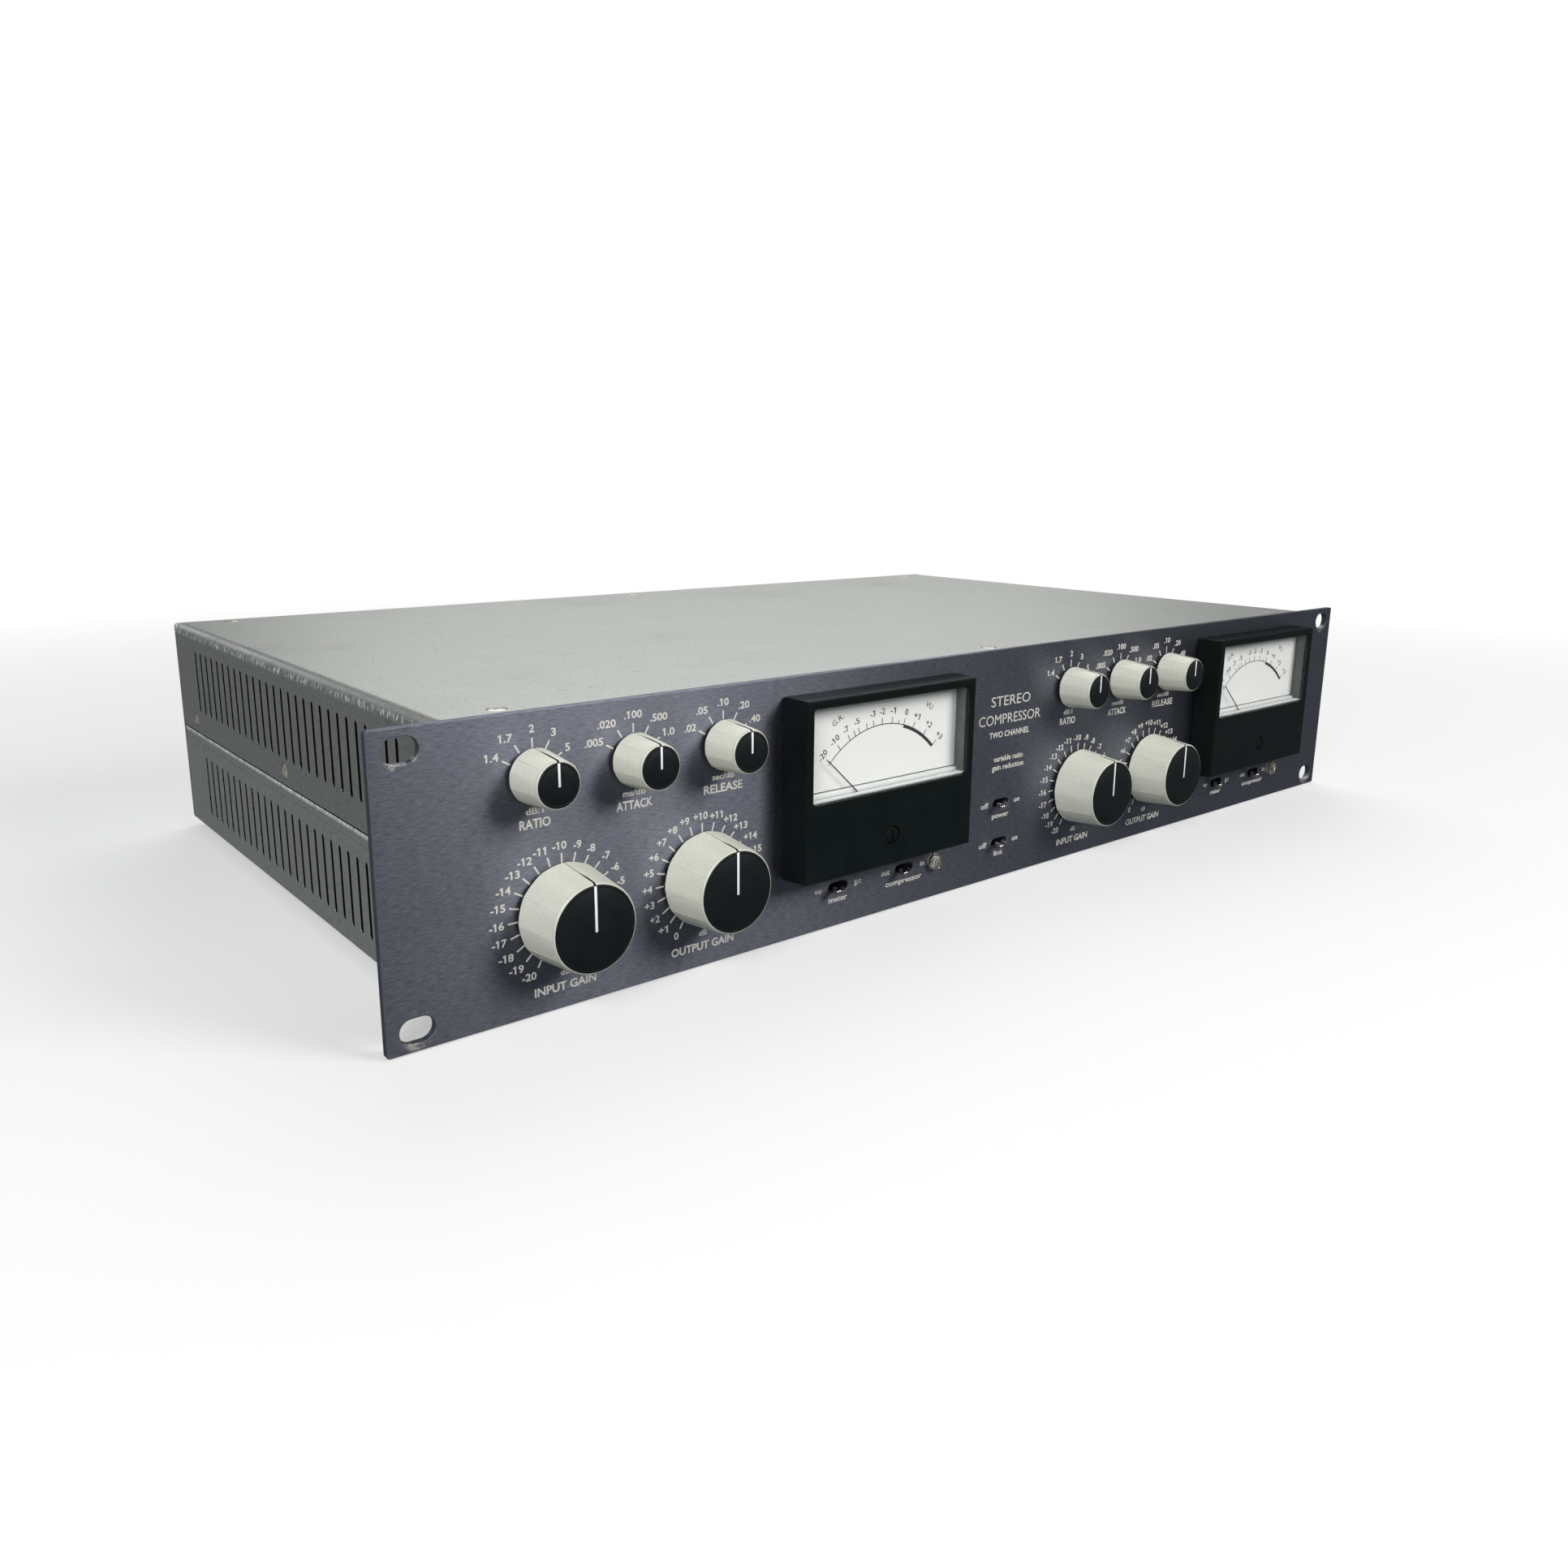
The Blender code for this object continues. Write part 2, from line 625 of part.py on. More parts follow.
def build_meters():
    """Case with barrel, glazed window, dial, needle and zero screw; the right meter copies the left."""
    case = meter_block()
    barrel = rod("barrel", 0.0, 0.0, (-METER_BARREL_END, BARREL_ROOT), METER_BARREL_R, BARREL_SIDES)
    barrel.rotation_euler = FACING_FRONT
    barrel.location = (0.0, 0.0, METER_BARREL_Z)
    fuse(case, barrel)
    floor = DIAL_Y + DIAL_T + GAP
    half = WINDOW_HALF_W
    cut(case, box("window_space", (-half, half), (-METER_REACH - 0.001, floor), WINDOW_Z))
    cut(case, box("movement_space", (-half, half), (-METER_REACH + METER_WALL, floor),
                  (MOVEMENT_Z, WINDOW_Z[0] + 0.001)))
    hole = rod("zero_hole", 0.0, 0.0, (METER_REACH - METER_WALL - 0.0005, METER_REACH + 0.001), ZERO_R + GAP, 16)
    hole.rotation_euler = FACING_FRONT
    hole.location = (0.0, 0.0, ZERO_Z)
    cut(case, hole)
    case.location = at(METER_X, 0.0, 0.0)
    finish(case, BLACK)

    pane = half - GAP
    window = box("meter_window_left", (-pane, pane), (-METER_REACH + GAP, -METER_REACH + GAP + WINDOW_T),
                 (WINDOW_Z[0] + GAP, WINDOW_Z[1] - GAP))
    window.location = at(METER_X, 0.0, 0.0)
    finish(window, CLEAR)

    dial = box("meter_dial_left", (-pane, pane), (DIAL_Y, DIAL_Y + DIAL_T), (MOVEMENT_Z + GAP, WINDOW_Z[1] - GAP))
    dial.location = at(METER_X, 0.0, 0.0)
    finish(dial, DIAL)

    half_w = NEEDLE_W / 2.0
    root = math.degrees(math.asin(half_w / NEEDLE_HUB_R))
    outline = arc(0.0, 0.0, NEEDLE_HUB_R, 90.0 + root, 450.0 - root, 14)
    outline += [(half_w, NEEDLE_REACH), (-half_w, NEEDLE_REACH)]
    needle = plate("meter_needle_left", [outline], (-NEEDLE_T / 2.0, NEEDLE_T / 2.0))
    needle.rotation_euler = (0.0, math.radians(NEEDLE_REST), 0.0)
    needle.location = at(METER_X, NEEDLE_Y, NEEDLE_PIVOT_Z)
    finish(needle, NEEDLE)

    screw_front = METER_REACH - GAP / 3.0
    screw = rod("meter_zero_left", 0.0, 0.0, (screw_front - ZERO_T, screw_front), ZERO_R, 16)
    half_slot = ZERO_SLOT / 2.0
    cut(screw, box("slot", (-half_slot, half_slot), (-ZERO_R * 0.8, ZERO_R * 0.8), (screw_front - 0.0008, 0.02)))
    screw.rotation_euler = FACING_FRONT
    screw.location = at(METER_X, 0.0, ZERO_Z)
    finish(screw, BLACK)

    for piece in (case, window, dial, needle, screw):
        place = (piece.location.x + CHANNEL_STEP, piece.location.y, piece.location.z)
        copy_of(piece, piece.name.replace("_left", "_right"), place)


def xlr_blank(name):
    half_w = FLANGE[0] / 2.0
    half_h = FLANGE[1] / 2.0
    front = GAP + FLANGE_T
    socket = box(name, (-half_w, half_w), (-half_h, half_h), (GAP, front))
    fuse(socket, rod("barrel", 0.0, 0.0, (-BARREL_DEPTH, GAP + FLANGE_T / 2.0), BARREL_R, 20))
    return socket


def pin_places():
    angles = [math.radians(a) for a in PIN_ANGLES]
    return [(PIN_RING_R * math.cos(a), PIN_RING_R * math.sin(a)) for a in angles]


def build_xlr_sockets():
    """Input sockets with three holes, output sockets as a cup with three pins."""
    front = GAP + FLANGE_T
    female = xlr_blank(SOCKET_X[0][0])
    for px, py in pin_places():
        cut(female, rod("pin_hole", px, py, (front - 0.012, front + 0.001), PIN_HOLE_R, 8))
    male = xlr_blank(SOCKET_X[2][0])
    cut(male, rod("cup", 0.0, 0.0, (-CUP_DEPTH, front + 0.001), CUP_R, 20))
    for px, py in pin_places():
        fuse(male, rod("pin", px, py, (-CUP_DEPTH - 0.001, PIN_TOP), PIN_R, 8))
    for first, pair in ((female, SOCKET_X[:2]), (male, SOCKET_X[2:])):
        first.rotation_euler = FACING_REAR
        first.location = at(pair[0][1], CASE_REAR, SOCKET_Z)
        finish(first, SOCKET)
        copy_of(first, pair[1][0], at(pair[1][1], CASE_REAR, SOCKET_Z))


def centred(size):
    return (-size / 2.0, size / 2.0)


def build_mains_inlet():
    front = GAP + INLET_FLANGE_T
    inlet = box("mains_inlet", centred(INLET_FLANGE[0]), centred(INLET_FLANGE[1]), (GAP, front))
    fuse(inlet, box("body", centred(INLET_BODY[0]), centred(INLET_BODY[1]), (-INLET_DEPTH, front / 2.0)))
    cut(inlet, box("well", centred(INLET_WELL[0]), centred(INLET_WELL[1]), (-INLET_WELL_DEPTH, front + 0.001)))
    for x, y in ((-BLADE_X, 0.002), (0.0, -0.002), (BLADE_X, 0.002)):
        fuse(inlet, box("blade", (x - BLADE[0] / 2.0, x + BLADE[0] / 2.0), (y - BLADE[1] / 2.0, y + BLADE[1] / 2.0),
                        (-INLET_WELL_DEPTH - 0.001, BLADE_TOP)))
    inlet.rotation_euler = FACING_REAR
    inlet.location = at(INLET_X, CASE_REAR, SOCKET_Z)
    finish(inlet, BLACK)


def build_main_board():
    """Audio and supply board on four pillars with its tallest components."""
    low = CASE_BOTTOM + SHEET + GAP
    top = MAIN_BOARD_Z + BOARD_T
    board = box("main_board", MAIN_BOARD_X, MAIN_BOARD_Y, (MAIN_BOARD_Z, top))
    inset = 0.008
    for x in (MAIN_BOARD_X[0] + inset, MAIN_BOARD_X[1] - inset):
        for y in (MAIN_BOARD_Y[0] + inset, MAIN_BOARD_Y[1] - inset):
            fuse(board, rod("pillar", x, y, (low, top - BOARD_T / 2.0), PILLAR_R, 8))
    for x, y in ((0.060, 0.200), (0.060, 0.170), (0.030, 0.200), (0.030, 0.170)):
        fuse(board, rod("capacitor", x, y, (top - BOARD_T / 2.0, top + 0.030), 0.0110, 12))
    for x in (-0.170, -0.130, -0.070, -0.030):
        fuse(board, box("line_transformer", (x - 0.014, x + 0.014), (0.190, 0.222), (top - BOARD_T / 2.0, top + 0.024)))
    board.location = at(0.0, 0.0, 0.0)
    finish(board, BOARD)


def build_transformer():
    """Potted ring-core mains transformer with its clamping washer and bolt."""
    low = CASE_BOTTOM + SHEET + GAP
    high = low + TOROID_H
    profile = [(0.0, high + 0.004), (0.004, high + 0.004), (0.004, high + 0.001), (0.020, high + 0.001),
               (0.022, high), (TOROID_R - 0.008, high), (TOROID_R - 0.002, high - 0.003), (TOROID_R, high - 0.010),
               (TOROID_R, low + 0.010), (TOROID_R - 0.002, low + 0.003), (TOROID_R - 0.008, low), (0.0, low)]
    core = turned("power_transformer", profile, 24)
    core.location = at(TOROID_POS[0], TOROID_POS[1], 0.0)
    finish(core, POTTING)


build_front_panel()
build_top_cover()
build_bottom_tray()
build_rear_panel()
build_knobs()
build_control_board()
build_toggles()
build_lenses()
build_meters()
build_xlr_sockets()
build_mains_inlet()
build_main_board()
build_transformer()

CUTTERS.hide_render = True
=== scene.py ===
"""Looks of the two-channel rack compressor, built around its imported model.

Metres, +Z up, the front panel faces -Y and +X is to the right seen from the front.
Depths count from the panel's front face, positive to the rear; angles on a dial or scale are
clock angles in degrees, 0 at the top and positive to the right.
"""
import json
import math

import bmesh
import bpy
from mathutils import Matrix, Vector


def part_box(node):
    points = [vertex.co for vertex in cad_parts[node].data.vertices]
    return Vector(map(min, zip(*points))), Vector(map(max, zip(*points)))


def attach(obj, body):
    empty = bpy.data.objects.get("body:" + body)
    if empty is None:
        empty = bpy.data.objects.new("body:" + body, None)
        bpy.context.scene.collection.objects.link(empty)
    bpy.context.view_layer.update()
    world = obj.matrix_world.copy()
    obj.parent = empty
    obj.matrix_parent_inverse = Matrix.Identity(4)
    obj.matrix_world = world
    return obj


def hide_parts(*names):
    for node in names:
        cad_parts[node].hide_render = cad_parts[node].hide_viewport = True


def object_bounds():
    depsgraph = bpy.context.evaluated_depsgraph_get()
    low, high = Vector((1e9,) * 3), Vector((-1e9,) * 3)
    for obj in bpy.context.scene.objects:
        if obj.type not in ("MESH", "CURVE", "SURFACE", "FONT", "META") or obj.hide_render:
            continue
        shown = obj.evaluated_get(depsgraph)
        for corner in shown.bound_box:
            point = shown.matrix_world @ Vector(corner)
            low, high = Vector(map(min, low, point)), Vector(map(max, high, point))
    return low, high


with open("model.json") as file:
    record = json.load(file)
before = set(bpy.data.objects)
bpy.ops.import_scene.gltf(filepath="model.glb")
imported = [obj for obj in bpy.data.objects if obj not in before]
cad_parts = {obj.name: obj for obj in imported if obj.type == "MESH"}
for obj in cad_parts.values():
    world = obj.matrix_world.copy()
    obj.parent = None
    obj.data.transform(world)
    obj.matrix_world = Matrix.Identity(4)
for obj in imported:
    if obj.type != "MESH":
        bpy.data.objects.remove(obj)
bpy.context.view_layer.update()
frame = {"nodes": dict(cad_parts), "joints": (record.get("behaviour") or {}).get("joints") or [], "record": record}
MM = 0.001


def mm(*values):
    """Millimetres as metres."""
    return tuple(value * MM for value in values)


PIVOTS = {joint["child"]: Vector(joint["pos_m"]) for joint in frame["joints"]}
OPENINGS = {opening["name"]: opening["box_m"] for opening in frame["record"]["physics"]["openings"]}
PANEL_LOW, PANEL_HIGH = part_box("front_panel")
FRONT = PANEL_LOW.y
SIDES = ("left", "right")
SOCKETS = ("xlr_in_left", "xlr_in_right", "xlr_out_left", "xlr_out_right")
TO_FRONT = Matrix.Rotation(math.radians(90), 4, "X")
TO_REAR = Matrix.Rotation(math.radians(180), 4, "Z") @ TO_FRONT
TO_LEFT = Matrix.Rotation(math.radians(-90), 4, "Z") @ TO_FRONT
TO_RIGHT = Matrix.Rotation(math.radians(90), 4, "Z") @ TO_FRONT
GAP = 0.3 * MM

# case sheet; a row of louvres is its first slot's depth, pitch, lowest and highest point
SHEET, COVER_BEND, TRAY_BEND = mm(1.2, 3.8, 1.5)
LOUVRE_W = 2.1 * MM
LOUVRES = 28
EDGE_STEPS = (0.06, 0.15, 0.28, 0.45, 0.65, 0.85, 1)
UPPER_ROW = mm(29.3, 7.575, 53.8, 78.8)
LOWER_ROW = mm(28.8, 7.552, 10.2, 35)
SIDE_SCREW_Z = 49.5 * MM
SIDE_SCREW_Y = mm(20, 130.8, 241.8)
TOP_SCREW_X = mm(-200.5, 1, 202.5)
TOP_SCREW_Y = mm(10.5, 256)
SCREW_R, REAR_SCREW_R = mm(2.7, 2.3)
ZINC_TONES = ((0.424, 0.44, 0.414), (0.602, 0.608, 0.574), (0.374, 0.388, 0.368))

# slots and holes of the panel
SLOT_SIZE = mm(10, 7.2)
TOGGLE_SLOT = mm(9, 3.8)
BUSH_HOLE_R, LENS_HOLE_R, BARREL_HOLE_R = mm(4.8, 3.3, 23.8)
PANEL_CORNER = 0.8 * MM

# knobs: base, rim and cap radii
KNOB_SIZES = {"small": mm(8, 6.9, 6.2), "big": mm(14.9, 13.3, 12.5)}
SMALL_KNOBS = ("ratio", "attack", "release")
BIG_KNOBS = ("input", "output")
KNOB_LIFT, CAP_T, RIM_BACK, RECESS = mm(1, 2, 0.35, 2.3)
FACET_STEP = 30
FACET_SHARE = 0.35
FACET_LINE = 0.13

# meters and switches
METER_FACE_SHARE = (77.3 / 79.5, 60 / 60.6)
METER_WALL = 2 * MM
METER_BARREL_Z = PANEL_LOW.z + 50 * MM
DIAL_R = 33 * MM
NEEDLE_REST = -47
LEVER_REST = -14

# rear: places of the flanges' screws from the sockets' and the inlet's middle
FLANGE_SCREW = mm(9.5, 12)
INLET_SCREW = 20 * MM
PIN_RING = 4.4
PIN_ANGLES = (35, 145, 270)


# ---- nodes of the materials

class Look:
    """A Principled material with short calls for the nodes that shape it."""

    def __init__(self, name, color, roughness, metallic=0, **fixed):
        self.material = bpy.data.materials.new(name)
        self.material.use_nodes = True
        self.tree = self.material.node_tree
        self.shader = self.tree.nodes["Principled BSDF"]
        self.base = color
        self.set("Base Color", (*color, 1))
        self.set("Roughness", roughness)
        self.set("Metallic", metallic)
        for socket, value in fixed.items():
            self.set(socket.replace("_", " "), value)
        self.place = self.add("TexCoord").outputs["Object"]

    def set(self, socket, value):
        self.feed(self.shader, socket, value)

    def feed(self, node, socket, value):
        if isinstance(value, bpy.types.NodeSocket):
            self.tree.links.new(value, node.inputs[socket])
        else:
            node.inputs[socket].default_value = value

    def add(self, kind, inputs=None, **settings):
        node = self.tree.nodes.new("ShaderNode" + kind)
        for key, value in settings.items():
            setattr(node, key, value)
        for socket, value in (inputs or {}).items():
            self.feed(node, socket, value)
        return node

    def math(self, operation, first, second=0):
        return self.add("Math", {0: first, 1: second}, operation=operation).outputs[0]

    def times(self, first, second):
        return self.math("MULTIPLY", first, second)

    def above(self, value, limit=0):
        return self.math("GREATER_THAN", value, limit)

    def below(self, value, limit):
        return self.math("LESS_THAN", value, limit)

    def size(self, value):
        return self.math("ABSOLUTE", value)

    def largest(self, values):
        total = values[0]
        for value in values[1:]:
            total = self.math("MAXIMUM", total, value)
        return total

    def axis(self, letter):
        return self.add("SeparateXYZ", {0: self.place}).outputs[letter]

    def noise(self, stretch, detail=3, rough=0.6, shift=0):
        """Noise whose cells are 1/stretch metres long, given once or for x, y and z."""
        stretch = stretch if isinstance(stretch, tuple) else (stretch,) * 3
        scaled = self.add("Mapping", {"Vector": self.place, "Scale": stretch, "Location": (shift,) * 3})
        return self.add("TexNoise", {"Vector": scaled.outputs[0], "Scale": 1, "Detail": detail,
                                     "Roughness": rough}).outputs["Fac"]

    def ramp(self, value, low, high, start=0, end=1):
        return self.add("MapRange", {"Value": value, "From Min": low, "From Max": high, "To Min": start,
                                     "To Max": end}).outputs[0]

    def blend(self, share, first, second):
        """Colour mix; plain colours may be given as three numbers."""
        node = self.add("Mix", data_type="RGBA")
        self.feed(node, 0, share)
        for index, value in ((6, first), (7, second)):
            self.feed(node, index, value if isinstance(value, bpy.types.NodeSocket) else (*value, 1))
        return node.outputs[2]

    def tint(self, share, color):
        """Lays a colour over the base colour so far."""
        self.base = self.blend(share, self.base, color)
        self.set("Base Color", self.base)

    def fade(self, value, low, high, color, most=1):
        """Lays a colour over the base colour as the value goes from low to high."""
        self.tint(self.ramp(value, low, high, 0, most), color)

    def vary(self, socket, value, low, high, start, end):
        self.set(socket, self.ramp(value, low, high, start, end))

    def bump(self, height, depth, strength=1):
        node = self.add("Bump", {"Height": height, "Distance": depth, "Strength": strength})
        self.set("Normal", node.outputs[0])

    def mix_shaders(self, share, first, second):
        mix = self.add("MixShader", {0: share, 1: first, 2: second})
        output = next(node for node in self.tree.nodes if node.type == "OUTPUT_MATERIAL")
        self.tree.links.new(mix.outputs[0], output.inputs["Surface"])


def panel_look():
    """Dark anodised aluminium, brushed level, with rubbed crescents below the rack slots."""
    look = Look("anodised_brushed", (0.112, 0.122, 0.158), 0.4, 0.92, Anisotropic=0.85,
                Anisotropic_Rotation=0.25)
    brush = look.noise((340, 340, 3000))
    look.fade(brush, 0.36, 0.66, (0.188, 0.202, 0.244))
    look.fade(look.noise((900, 900, 7500), 2, 0.6, 3), 0.5, 0.8, (0.31, 0.325, 0.36), 0.4)
    look.fade(look.noise((16, 16, 26), 3, 0.5, 7), 0.4, 0.75, (0.125, 0.125, 0.14), 0.35)
    look.fade(look.noise((420, 420, 1300), 2, 0.5, 11), 0.745, 0.77, (0.5, 0.49, 0.45), 0.45)
    spot = look.add("CombineXYZ", {"X": look.axis("X"), "Z": look.axis("Z")}).outputs[0]
    rubbed = []
    for x, z in SLOT_PLACES:
        away = look.add("VectorMath", {0: spot, 1: (x, 0, z - 1.2 * MM)}, operation="DISTANCE")
        rubbed.append(look.ramp(away.outputs["Value"], *mm(4.9, 4)))
    scuff = look.ramp(look.noise((160, 160, 420), 4, 0.7, 5), 0.44, 0.58)
    look.tint(look.times(look.times(look.largest(rubbed), scuff), 0.8), (0.66, 0.64, 0.58))
    look.vary("Roughness", brush, 0.2, 0.8, 0.36, 0.46)
    look.bump(brush, 0.02 * MM, 0.6)
    return look.material


def sheet_look(name, wear_and_glint_zones, lit=0.05 * MM, tone=1, wear_and_glint_range=(0.53, 0.61), crease_shade=None):
    """Zinc-plated sheet with fine speckle, smudges, worn bends and painted light and shade.

    Each bright zone is (height, reach): worn bare zinc, painted near-white so that it is also a painted
    highlight for the glints caught there; it shows through over a given range of the noise. A fine level
    line of painted shade, for a crease, may be drawn at a given height. The walls of punched holes keep
    the sheet's colour down to the lit depth and get painted shade below it.
    """
    dark, light, cloudy = [tuple(tone * c for c in color) for color in ZINC_TONES]
    look = Look(name, dark, 0.42, 0.92)
    grain = look.noise((1500, 500, 1500))
    cloud = look.noise(14, 4, 0.6, 2)
    look.fade(grain, 0.3, 0.7, light)
    look.fade(cloud, 0.4, 0.75, cloudy, 0.5)
    look.fade(look.noise(260, 2, 0.5, 9), 0.68, 0.74, (0.2, 0.21, 0.21), 0.35)
    look.fade(look.noise((30, 260, 260), 3, 0.7, 13), 0.6, 0.75, (0.3, 0.31, 0.31), 0.25)
    height = look.axis("Z")
    across = look.size(look.axis("X"))
    zones = []
    for level, reach in wear_and_glint_zones:
        away = look.size(look.math("SUBTRACT", height, level))
        zones.append(look.ramp(away, reach, reach * 0.35))
    outside = look.above(across, CASE_HALF - 4.5 * MM)
    scratch_and_glint = look.ramp(look.noise((260, 1600, 300), 3, 0.7, 4), *wear_and_glint_range)
    wear_and_glint = look.times(look.times(look.largest(zones), outside), scratch_and_glint)
    # Worn bare zinc painted near-white, which is also a painted highlight for the glints caught on bends and
    # edges.
    look.tint(look.times(wear_and_glint, 0.9), (0.95, 0.97, 0.94))
    look.vary("Metallic", wear_and_glint, 0, 1, 0.92, 0.2)
    # Painted shade: the walls of punched holes on the sides are painted near-black below the lit depth, for the
    # shade inside the louvres and holes.
    hole_wall_shade = look.times(look.below(across, CASE_HALF - lit),
                         look.above(across, CASE_HALF - SHEET - 0.02 * MM))
    on_side = look.below(height, CASE_HIGH.z - COVER_BEND)
    look.tint(look.times(hole_wall_shade, on_side), (0.02, 0.022, 0.022))
    # Painted shade: a fine dark level line stands in for the shade of a crease in the sheet.
    if crease_shade is not None:
        line = look.math("COMPARE", height, crease_shade)
        line.node.inputs[2].default_value = 0.09 * MM
        look.tint(look.times(line, 0.55), (0.12, 0.12, 0.12))
    look.vary("Roughness", cloud, 0.3, 0.8, 0.38, 0.5)
    look.bump(look.math("ADD", grain, look.times(wear_and_glint, 0.8)), 0.03 * MM, 0.4)
    return look.material


def knob_look(rim_height):
    """Satin light-grey shell with painted shade on its rim, toning down the light it catches, and a black pointer
    groove.
    """
    look = Look("knob_grey", (0.67, 0.68, 0.59), 0.42)
    grain = look.noise((1800, 1800, 700))
    dirt = look.noise((160, 160, 60), 4, 0.6, 3)
    look.fade(grain, 0.3, 0.7, (0.745, 0.755, 0.66))
    look.fade(dirt, 0.5, 0.8, (0.52, 0.52, 0.44), 0.45)
    # Painted shade: the rim is darkened to tone down the light it catches.
    look.fade(look.axis("Z"), rim_height - 1 * MM, rim_height - 0.6 * MM, (0.5, 0.51, 0.45), 0.8)
    middle = look.below(look.size(look.axis("X")), 0.33 * MM)
    look.tint(look.times(middle, look.above(look.axis("Y"))), (0.02, 0.02, 0.02))
    look.vary("Roughness", dirt, 0.3, 0.8, 0.36, 0.52)
    look.bump(grain, 0.02 * MM, 0.5)
    return look.material


def plastic_look(name, dark, light, roughness, grain_scale=2600, depth=0.012, gloss=0.3):
    """Moulded plastic with a fine eroded texture."""
    look = Look(name, dark, roughness, Specular_IOR_Level=gloss)
    smear = look.noise(90, 3, 0.6, 2)
    look.fade(smear, 0.4, 0.8, light)
    look.vary("Roughness", smear, 0.3, 0.8, roughness - 0.06, roughness + 0.08)
    look.bump(look.noise(grain_scale, 2), depth * MM, 0.6)
    return look.material


def metal_look(name, dark, light, roughness, stretch=900, metallic=1):
    look = Look(name, light, roughness, metallic)
    grain = look.noise(stretch)
    look.fade(look.noise(220, 3, 0.6, 6), 0.4, 0.75, dark)
    look.vary("Roughness", grain, 0.25, 0.75, roughness * 0.75, roughness * 1.3)
    look.bump(grain, 0.006 * MM, 0.5)
    return look.material


def ink_look(name, color, faded):
    """Screen-printed ink with small thin places."""
    look = Look(name, color, 0.5)
    thin = look.noise(1600, 3, 0.7)
    look.fade(thin, 0.58, 0.78, faded)
    look.vary("Roughness", thin, 0.3, 0.7, 0.45, 0.6)
    return look.material


def window_look():
    """Clear pane: it lets light through and shines at its edges and at a slant."""
    look = Look("clear_pane", (0.85, 0.88, 0.87), 0.04, 1)
    look.vary("Roughness", look.noise(150, 4), 0.3, 0.8, 0.02, 0.07)
    clear = look.add("BsdfTransparent", {"Color": (0.99, 0.995, 0.995, 1)})
    slant = look.math("POWER", look.add("LayerWeight", {"Blend": 0.5}).outputs["Facing"], 5)
    look.mix_shaders(look.ramp(slant, 0, 1, 0.03, 0.9), clear.outputs[0], look.shader.outputs[0])
    return look.material


def board_look():
    """Solder resist with copper traces under it; switch bodies in front of the board are dark."""
    look = Look("board_green", (0.06, 0.24, 0.1), 0.35)
    cells = look.add("TexVoronoi", {"Vector": look.place, "Scale": 320}, feature="DISTANCE_TO_EDGE")
    trace = look.ramp(cells.outputs["Distance"], 0.05, 0.08)
    stain = look.noise(500)
    look.tint(trace, (0.025, 0.13, 0.06))
    body = look.below(look.axis("Y"), BOARD_FRONT - 0.1 * MM)
    look.tint(body, look.blend(stain, (0.012, 0.012, 0.014), (0.035, 0.035, 0.04)))
    look.vary("Roughness", stain, 0.3, 0.7, 0.3, 0.5)
    look.bump(trace, 0.03 * MM, 0.5)
    return look.material


def dial_paint_look(side):
    """Matt white card with painted shade, greyer towards the walls round it."""
    look = Look("dial_paint_" + side, (0.94, 0.94, 0.92), 0.55)
    grain = look.noise(900)
    look.fade(grain, 0.3, 0.8, (0.9, 0.9, 0.88))
    low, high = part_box("meter_window_" + side)
    x, z = look.axis("X"), look.axis("Z")
    # Painted shade: the card is greyed towards the walls round it, where they shade it.
    edges = ((x, low.x, 7), (x, high.x - 1 * MM, -4), (z, high.z, -5.5), (z, low.z, 7))
    shade = look.largest([look.ramp(value, edge, edge + reach * MM, 1, 0) for value, edge, reach in edges])
    look.tint(look.times(look.math("POWER", shade, 1.6), 0.6), (0.5, 0.52, 0.51))
    look.bump(grain, 0.005 * MM, 0.4)
    return look.material


def wall_look():
    """Grey walls between window and dial, with painted light along their lower side, painted pale where light
    falls on it.
    """
    look = Look("meter_wall", (0.065, 0.072, 0.068), 0.18)
    smear = look.noise(90, 3, 0.6, 2)
    look.fade(smear, 0.4, 0.8, (0.11, 0.12, 0.115))
    # Painted light: the upward-facing lower side is painted pale, where light falls on it.
    lower = look.below(look.axis("Z"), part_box("meter_window_left")[0].z + 0.56 * MM)
    look.tint(lower, (0.74, 0.75, 0.74))
    look.vary("Roughness", smear, 0.3, 0.8, 0.12, 0.24)
    return look.material


def lens_look():
    look = Look("lens_grey", (0.5, 0.5, 0.47), 0.1, 0, Transmission_Weight=0.85, IOR=1.49)
    haze = look.noise(600)
    look.fade(haze, 0.3, 0.8, (0.72, 0.72, 0.68))
    look.vary("Roughness", haze, 0.3, 0.8, 0.03, 0.12)
    return look.material


def stage_look():
    """Pale floor that passes into an evenly lit white backdrop."""
    look = Look("stage_pale", (0.87, 0.87, 0.87), 0.8)
    look.tint(look.noise(1.5, 2, 0.5), (0.9, 0.9, 0.9))
    glow = look.add("Emission", {"Color": (1, 1, 1, 1), "Strength": 1})
    away = look.add("VectorMath", {0: look.place}, operation="LENGTH").outputs["Value"]
    look.mix_shaders(look.ramp(away, 0.35, 1, 0.35, 1), look.shader.outputs[0], glow.outputs[0])
    return look.material


# ---- shapes

def link(name, data):
    obj = bpy.data.objects.new(name, data)
    bpy.context.scene.collection.objects.link(obj)
    return obj


def evaluated_mesh(obj):
    depsgraph = bpy.context.evaluated_depsgraph_get()
    return bpy.data.meshes.new_from_object(obj.evaluated_get(depsgraph))


def applied(obj):
    """Applies the object's modifiers."""
    mesh = evaluated_mesh(obj)
    obj.modifiers.clear()
    obj.data = mesh
    return obj


def removed(obj):
    bpy.data.objects.remove(obj, do_unlink=True)


